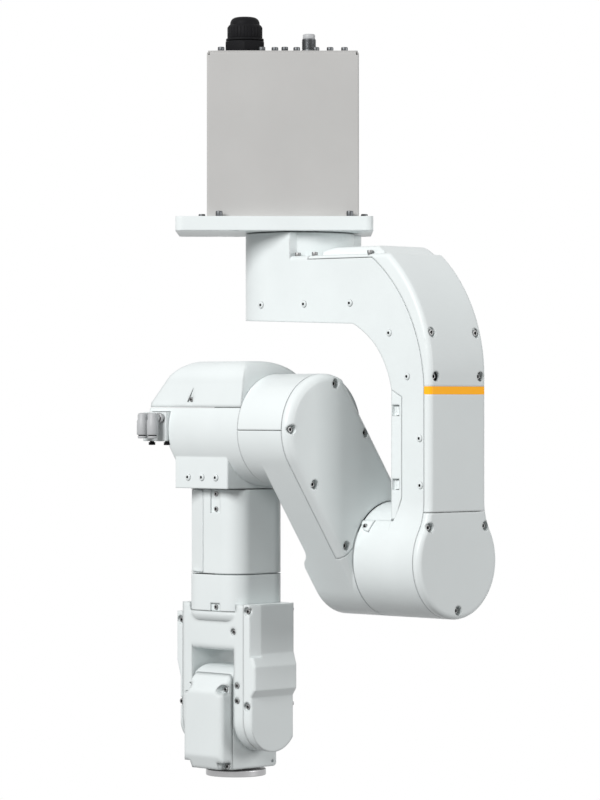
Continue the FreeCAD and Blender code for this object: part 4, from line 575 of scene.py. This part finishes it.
def turned(name, profile, sides=48):
    """A turned part about the vertical, extruded and scaled ring by ring up its profile."""
    (first, low), (second, level) = profile[:2]
    piece = drum(name, first, low, level, sides)
    edit_faces(piece, lambda middle, normal: normal.z > 0.9)
    share = second / first
    bpy.ops.transform.resize(value=(share, share, 1), center_override=(0, 0, level))
    radius = second
    for wide, height in profile[2:]:
        bpy.ops.mesh.extrude_region_move(
            TRANSFORM_OT_translate={"value": (0, 0, height - level)}
        )
        share = wide / radius
        bpy.ops.transform.resize(value=(share, share, 1), center_override=(0, 0, height))
        radius, level = wide, height
    leave_edit()
    return piece


def combine(piece, other, operation):
    """Unite a piece with another, or keep what both share, and delete the other."""
    apply_modifier(piece, "BOOLEAN", operation=operation, object=other, solver="EXACT")
    bpy.data.objects.remove(other, do_unlink=True)


def finish_faces(piece, first, second=None, chosen=None):
    """Set the finish of a piece, and a second finish on the chosen faces."""
    piece.data.materials.clear()
    piece.data.materials.append(FINISH[first])
    for face in piece.data.polygons:
        face.material_index = 0
    if second:
        piece.data.materials.append(FINISH[second])
        for face in piece.data.polygons:
            if chosen(face.center, face.normal):
                face.material_index = 1


# Screws

BUTTON = {"radius": 0.0036, "height": 0.0016, "socket": 0.0016, "depth": 0.0012, "shank": 0.0018}
CAP = {"radius": 0.0032, "height": 0.0024, "socket": 0.00175, "depth": 0.0016, "shank": 0.0017}

# Outline of each head: share of the radius, and share of the height at which it lies
BUTTON_HEAD = ((1, 0), (1, 0.35), (0.95, 0.62), (0.85, 0.82), (0.7, 0.95), (0.5, 1))
CAP_HEAD = ((1, 0), (1, 0.85), (0.9, 1))

SHANK_LENGTH = 0.004
SOCKET_SIDES = 6
SCREW_EDGE = 0.00012

# Heads lower than this share of their radius are buttons
LOW_HEAD = 0.5

# A screw is a little narrower than its solid and stands just off its seat
HEAD_FIT = 0.995
SEAT_GAP = 0.00002

SCREW_NODES = (
    "panel_screws",
    "plate_bolts",
    "arm1_button_screws",
    "arm1_cover_screws",
    "arm2_cover_screws",
    "elbow_screws",
    "forearm_screws",
    "wrist_screws",
)
DARK_SCREWS = ("panel_screws", "plate_bolts")


def screw_model(name, sizes, head, finish):
    """A socket screw that stands on the origin with its head up."""
    radius, height = sizes["radius"], sizes["height"]
    piece = turned(name, [(radius * share, height * level) for share, level in head])
    raise_face(piece, 0, radius - sizes["shank"], -SHANK_LENGTH)
    floor = height - sizes["depth"]
    key = drum(name + ".key", sizes["socket"], floor, height + 0.001, SOCKET_SIDES)
    combine(piece, key, "DIFFERENCE")
    mouth = sizes["socket"] * 1.01
    low, high = max(0, floor - 0.00001), height - 0.00005
    # Faces inside the socket take a near-black painted shade
    finish_faces(
        piece,
        finish,
        "socket_painted_shade",
        lambda middle, normal: middle.xy.length < mouth and low < middle.z < high,
    )
    soften(piece, SCREW_EDGE, 2, 40)
    return piece


def button_model():
    """A white button screw with painted shade round the foot of its head."""
    piece = screw_model("button", BUTTON, BUTTON_HEAD, "white_cover")
    # Faces round the foot of the head take a painted shade, standing in for the shadow under it
    piece.data.materials.append(FINISH["button_rim_painted_shade"])
    foot, rim = BUTTON["height"] * 0.3, BUTTON["radius"] * 0.9
    for face in piece.data.polygons:
        if face.center.z < foot and face.center.xy.length > rim:
            face.material_index = 2
    return piece


class AddScrews(bpy.types.Operator):
    """Button and cap screws with hexagon sockets"""

    bl_idname = "robot.add_screws"
    bl_label = "Add the screws"

    def execute(self, context):
        button = button_model()
        cap = screw_model("cap", CAP, CAP_HEAD, "screw_steel")
        bolt = screw_model("bolt", CAP, CAP_HEAD, "dark_metal")
        for name in SCREW_NODES:
            buttons, caps = [], []
            for seat, line, radius, height in screw_places(name):
                low = height / radius < LOW_HEAD
                sizes = BUTTON if low else CAP
                wide = radius / sizes["radius"] * HEAD_FIT
                scale = (wide, wide, height / sizes["height"])
                place = upright(seat + line * SEAT_GAP, line, scale)
                (buttons if low else caps).append(place)
            if buttons:
                stand_for(copies(button, f"{name}_button", buttons), name)
            if caps:
                head = bolt if name in DARK_SCREWS else cap
                stand_for(copies(head, f"{name}_cap", caps), name)
        for master in (button, cap, bolt):
            bpy.data.objects.remove(master, do_unlink=True)
        return {"FINISHED"}


# Fittings of the base

# Share of a hexagon's reach at which its flats lie
FLAT = math.sqrt(3) / 2

GROOVE_RADIUS = 0.00062
ROUND_SIDES = 96


def centre_of(name):
    """Middle of a node in plan, its reach in plan, and its lowest and highest level."""
    low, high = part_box(name)
    middle = Vector(((low[0] + high[0]) / 2, (low[1] + high[1]) / 2, 0))
    return middle, (high[0] - low[0]) / 2, low[2], high[2]


def settle(piece, middle, node, finish):
    """Finish a piece that was made about the origin, move it to its middle and let it stand in."""
    finish_faces(piece, finish)
    piece.data.transform(Matrix.Translation(middle))
    stand_for(piece, node)


def add_gland_body(lift):
    """Hexagon with turned corners under a round collar."""
    middle, reach, foot, top = centre_of("cable_gland_body")
    seat = top + lift
    flat = reach * FLAT
    hexagon = drum("cable_gland_hexagon", reach, foot, seat - 0.0032, 6)
    corners = turned(
        "corners",
        [
            (reach * 0.985, foot - 0.001),
            (reach * 0.985, seat - 0.0052),
            (flat * 0.98, seat - 0.0025),
        ],
    )
    combine(hexagon, corners, "INTERSECT")
    collar = turned(
        "collar",
        [
            (flat * 0.9, seat - 0.005),
            (flat * 0.9, seat - 0.0026),
            (flat * 0.99, seat - 0.0022),
            (flat * 0.99, seat - 0.0006),
            (flat * 0.96, seat),
        ],
    )
    combine(hexagon, collar, "UNION")
    soften(hexagon, 0.0004)
    settle(hexagon, middle, "cable_gland_body", "black_plastic")


def add_gland_nut(lift, count):
    """Nut with a domed shoulder and grip grooves, and the level of its top."""
    middle, reach, foot, top = centre_of("cable_gland_nut")
    foot, top = foot + lift, top + lift
    nut = turned(
        "cable_gland_nut_ribbed",
        [
            (reach * 0.97, foot + 0.00005),
            (reach, foot + 0.0012),
            (reach, top - 0.0032),
            (reach * 0.93, top - 0.0011),
            (reach * 0.87, top - 0.0002),
        ],
        ROUND_SIDES,
    )
    groove = drum("groove", GROOVE_RADIUS, foot - 0.001, top - 0.0025, 10)
    around = []
    for number in range(count):
        angle = 2 * math.pi * (number + 0.5) / count
        spot = Vector((math.cos(angle), math.sin(angle), 0)) * (reach + 0.00012)
        around.append(Matrix.Translation(spot))
    grooves = copies(groove, "grooves", around)
    bpy.data.objects.remove(groove, do_unlink=True)
    combine(nut, grooves, "DIFFERENCE")
    soften(nut, 0.00025, 1, 50)
    settle(nut, middle, "cable_gland_nut", "black_plastic")
    return middle, top


def add_gland_plug(lift, middle, top):
    """Domed blanking plug that rises out of the nut."""
    _, reach, _, crown = centre_of("cable_gland_plug")
    crown += lift
    rise = crown - top
    plug = turned(
        "cable_gland_plug_dome",
        [
            (reach, top - 0.004),
            (reach, top + rise * 0.12),
            (reach * 0.985, top + rise * 0.34),
            (reach * 0.93, top + rise * 0.58),
            (reach * 0.84, top + rise * 0.78),
            (reach * 0.72, top + rise * 0.91),
            (reach * 0.56, top + rise * 0.98),
            (reach * 0.36, crown),
        ],
        ROUND_SIDES,
    )
    shade(plug, 50)
    settle(plug, middle, "cable_gland_plug", "black_plastic")


class AddCableGland(bpy.types.Operator):
    """Cable gland with its hexagon body, ribbed dome nut and blanking plug"""

    bl_idname = "robot.add_cable_gland"
    bl_label = "Add the cable gland"

    def execute(self, context):
        sizes = context.scene.robot_sizes
        add_gland_body(sizes.gland_lift)
        middle, top = add_gland_nut(sizes.gland_lift, sizes.nut_grooves)
        add_gland_plug(sizes.gland_lift, middle, top)
        return {"FINISHED"}


def add_thread(pitch):
    """Round connector: a collar under a thread of rings."""
    middle, reach, foot, top = centre_of("signal_connector")
    root, crest = reach * 0.92, reach * 0.99
    profile = [(reach, foot + 0.0015), (reach, foot + 0.0041), (reach * 0.93, foot + 0.0042)]
    level = foot + 0.0048
    while level + pitch < top - 0.0008:
        profile.append((root, level))
        profile.append((crest, level + pitch * 0.4))
        profile.append((crest, level + pitch * 0.55))
        profile.append((root, level + pitch * 0.95))
        level += pitch
    profile.append((root, top))
    piece = turned("signal_connector_thread", profile)
    shade(piece, 28)
    settle(piece, middle, "signal_connector", "dark_metal")


def add_connector_cap():
    """Cap with a rounded rim and a sunk top."""
    middle, reach, foot, top = centre_of("connector_cap")
    cap = turned(
        "connector_cap_soft",
        [
            (reach * 0.97, foot),
            (reach, foot + 0.0005),
            (reach, top - 0.0014),
            (reach * 0.95, top - 0.0004),
            (reach * 0.86, top),
            (reach * 0.62, top),
            (reach * 0.55, top - 0.0006),
        ],
    )
    shade(cap, 40)
    settle(cap, middle, "connector_cap", "grey_plastic")


class AddConnector(bpy.types.Operator):
    """Threaded round connector and its cap"""

    bl_idname = "robot.add_connector"
    bl_label = "Add the round connector"

    def execute(self, context):
        add_thread(context.scene.robot_sizes.thread_pitch)
        add_connector_cap()
        return {"FINISHED"}


# Fittings of the elbow

# Depth of the port's middle below the top of a fitting
PORT_DROP = 0.005

FITTING_EDGE = 0.0002


def drop_body(radius, height):
    """Upright half of a fitting, turned about the vertical, with the bore of its tube."""
    body = turned(
        "air_fitting",
        [
            (radius * 0.74, 0),
            (radius * 0.84, 0.0006),
            (radius * 0.84, 0.0024),
            (radius * 0.72, 0.0026),
            (radius * 0.72, 0.0034),
            (radius * 0.94, 0.0036),
            (radius, 0.0044),
            (radius, height - 0.0085),
            (radius * 0.86, height - 0.0068),
            (radius * 0.86, height - 0.0022),
            (radius * 0.72, height - 0.0006),
            (radius * 0.5, height),
        ],
    )
    combine(body, drum("tube", radius * 0.5, -0.001, 0.009, 32), "DIFFERENCE")
    soften(body, FITTING_EDGE)
    bore = radius * 0.52
    finish_faces(
        body,
        "grey_plastic",
        "black_plastic",
        lambda middle, normal: 0.0025 < middle.z < 0.0035 or middle.xy.length < bore,
    )
    return body


def swivel_body(radius, height, reach):
    """Level half of a fitting that runs into the block, with a band painted black in its groove."""
    swivel = turned(
        "swivel",
        [
            (radius * 0.78, -0.001),
            (radius * 0.78, reach * 0.45),
            (radius * 0.62, reach * 0.46),
            (radius * 0.62, reach * 0.55),
            (radius * 0.86, reach * 0.56),
            (radius * 0.86, reach * 0.8),
            (radius * 0.66, reach * 0.82),
            (radius * 0.66, reach + 0.005),
        ],
    )
    level = Matrix.Rotation(math.radians(-90), 4, "X")
    swivel.data.transform(Matrix.Translation((0, 0, height - PORT_DROP)) @ level)
    soften(swivel, FITTING_EDGE)
    # Faces in the narrow groove of the swivel are painted black
    finish_faces(
        swivel,
        "silver_flange",
        "black_plastic",
        lambda middle, normal: reach * 0.455 < middle.y < reach * 0.555,
    )
    return swivel


def add_fittings():
    """Both elbow fittings, from one model in the elbow's own frame."""
    low, high = local_box("air_fitting_1", ELBOW)
    radius = (high.x - low.x) / 2
    height = high.z - low.z
    reach = high.y - (low.y + radius) - 0.006
    body = drop_body(radius, height)
    swivel = swivel_body(radius, height, reach)
    choose(body, swivel)
    bpy.ops.object.join()
    for name in ("air_fitting_1", "air_fitting_2"):
        low, high = local_box(name, ELBOW)
        spot = Vector(((high.x + low.x) / 2, low.y + radius, low.z))
        piece = copies(body, name + "_turned", [ELBOW @ Matrix.Translation(spot)])
        stand_for(piece, name)
    bpy.data.objects.remove(body, do_unlink=True)


def add_plugs(head):
    """Hexagon plugs with sockets and a ring groove, under the block of the fittings."""
    back = ELBOW.inverted()
    spots = []
    for points in loose_parts("manifold_plugs"):
        wide, middle = spread([back @ point for point in points], UP)
        spots.append((wide, middle))
    wide = spots[0][0]
    plug = turned(
        "plug",
        [
            (wide * 0.62, -0.002),
            (wide * 0.62, 0),
            (wide * 0.98, 0.0001),
            (wide * 0.98, head * 0.3),
            (wide * 0.86, head * 0.34),
            (wide * 0.86, head * 0.44),
            (wide * 0.98, head * 0.48),
            (wide * 0.98, head * 0.85),
            (wide * 0.86, head),
        ],
        6,
    )
    key = drum("key", wide * 0.45, head * 0.4, head + 0.001, SOCKET_SIDES)
    combine(plug, key, "DIFFERENCE")
    soften(plug, FITTING_EDGE)
    finish_faces(plug, "black_plastic")
    foot = local_box("manifold_plugs", ELBOW)[0].z + head
    places = [ELBOW @ upright(Vector((*middle.xy, foot)), DOWN) for _, middle in spots]
    stand_for(copies(plug, "manifold_plugs_turned", places), "manifold_plugs")
    bpy.data.objects.remove(plug, do_unlink=True)


class AddAirFittings(bpy.types.Operator):
    """Two elbow push-in fittings and the plugs of their block"""

    bl_idname = "robot.add_air_fittings"
    bl_label = "Add the air fittings"

    def execute(self, context):
        add_fittings()
        add_plugs(context.scene.robot_sizes.plug_head)
        return {"FINISHED"}


# Castings and covers

# Nodes whose folds shade as wide rounds
SOFT_NODES = ("elbow_hood", "wrist_cover", "wrist_fork")


class DressCastings(bpy.types.Operator):
    """Give every piece of the frame its finish"""

    bl_idname = "robot.dress_castings"
    bl_label = "Dress the castings and covers"

    def execute(self, context):
        FINISH.update(make_finishes())
        for name, node in NODES.items():
            node.data.materials.clear()
            finish = "soft_casting" if name in SOFT_NODES else SLOT_OF[name]
            node.data.materials.append(FINISH[finish])
        return {"FINISHED"}


# Stage

# Name, place and size of each lamp, and the setting of its power
LAMPS = (
    ("Key lamp", (-1.9, -2.7, 1.5), 1.6, "key_power"),
    ("Fill lamp", (3.3, -1.1, 0.5), 1.2, "fill_power"),
)
LAMP_TARGET = Vector((0, 0, -0.19))
CAMERA_PLACE = (0, -3.675, -0.1896)
SENSOR_WIDTH = 36
WHITE = (1, 1, 1, 1)
WHITE_RAYS = ("Is Camera Ray", "Is Glossy Ray", "Is Transmission Ray")


def white_world(strength):
    """World that lights at a strength and is plain white where it is seen or mirrored."""
    world = bpy.data.worlds.new("Surroundings")
    world.use_nodes = True
    tree = world.node_tree
    plain = tree.nodes["Background"]
    plain.inputs["Color"].default_value = WHITE
    plain.inputs["Strength"].default_value = strength
    white = tree.nodes.new("ShaderNodeBackground")
    white.inputs["Color"].default_value = WHITE
    white.inputs["Strength"].default_value = 1.0
    rays = tree.nodes.new("ShaderNodeLightPath")
    seen = rays.outputs[WHITE_RAYS[0]]
    for name in WHITE_RAYS[1:]:
        either = tree.nodes.new("ShaderNodeMath")
        either.operation = "MAXIMUM"
        tree.links.new(seen, either.inputs[0])
        tree.links.new(rays.outputs[name], either.inputs[1])
        seen = either.outputs[0]
    mix = tree.nodes.new("ShaderNodeMixShader")
    tree.links.new(seen, mix.inputs["Fac"])
    tree.links.new(plain.outputs[0], mix.inputs[1])
    tree.links.new(white.outputs[0], mix.inputs[2])
    tree.links.new(mix.outputs[0], tree.nodes["World Output"].inputs["Surface"])
    return world


def put(name, data, spot):
    """Put a lamp or camera in the scene."""
    holder = bpy.data.objects.new(name, data)
    bpy.context.scene.collection.objects.link(holder)
    holder.location = spot
    return holder


class SetStage(bpy.types.Operator):
    """White surroundings, lamps and camera"""

    bl_idname = "robot.set_stage"
    bl_label = "Set the stage"

    def execute(self, context):
        scene = context.scene
        settings = scene.robot_stage
        scene.view_settings.view_transform = "Standard"
        scene.world = white_world(settings.surroundings)
        for name, spot, size, power in LAMPS:
            lamp = bpy.data.lights.new(name, "AREA")
            lamp.size = size
            lamp.energy = getattr(settings, power)
            holder = put(name, lamp, spot)
            aim = LAMP_TARGET - Vector(spot)
            holder.rotation_euler = aim.to_track_quat("-Z", "Y").to_euler()
        lens = bpy.data.cameras.new("Camera")
        lens.lens = settings.lens
        lens.sensor_width = SENSOR_WIDTH
        holder = put("Camera", lens, CAMERA_PLACE)
        holder.rotation_euler = (math.radians(90), 0, 0)
        scene.camera = holder
        return {"FINISHED"}


class RobotPanel(bpy.types.Panel):
    """Operators and settings of the robot arm"""

    bl_idname = "VIEW3D_PT_robot_arm"
    bl_label = "Robot arm"
    bl_space_type = "VIEW_3D"
    bl_region_type = "UI"
    bl_category = "Robot arm"

    def draw(self, context):
        for operator in OPERATORS:
            self.layout.operator(operator.bl_idname)
        for name, group in SETTINGS.items():
            for setting in group.__annotations__:
                self.layout.prop(getattr(context.scene, name), setting)


OPERATORS = (DressCastings, AddScrews, AddCableGland, AddConnector, AddAirFittings, SetStage)
SETTINGS = {"robot_colours": RobotColours, "robot_sizes": RobotSizes, "robot_stage": RobotStage}
CLASSES = (*SETTINGS.values(), *OPERATORS, RobotPanel)


def register():
    """Register the classes and hang the settings on the scene."""
    for item in CLASSES:
        bpy.utils.register_class(item)
    for name, group in SETTINGS.items():
        setattr(bpy.types.Scene, name, bpy.props.PointerProperty(type=group))


def unregister():
    """Take the settings and the classes away again."""
    for name in SETTINGS:
        delattr(bpy.types.Scene, name)
    for item in reversed(CLASSES):
        bpy.utils.unregister_class(item)


def main():
    """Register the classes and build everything."""
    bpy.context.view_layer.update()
    register()
    bpy.ops.robot.dress_castings()
    bpy.ops.robot.add_screws()
    bpy.ops.robot.add_cable_gland()
    bpy.ops.robot.add_connector()
    bpy.ops.robot.add_air_fittings()
    bpy.ops.robot.set_stage()


if __name__ == "__main__":
    main()
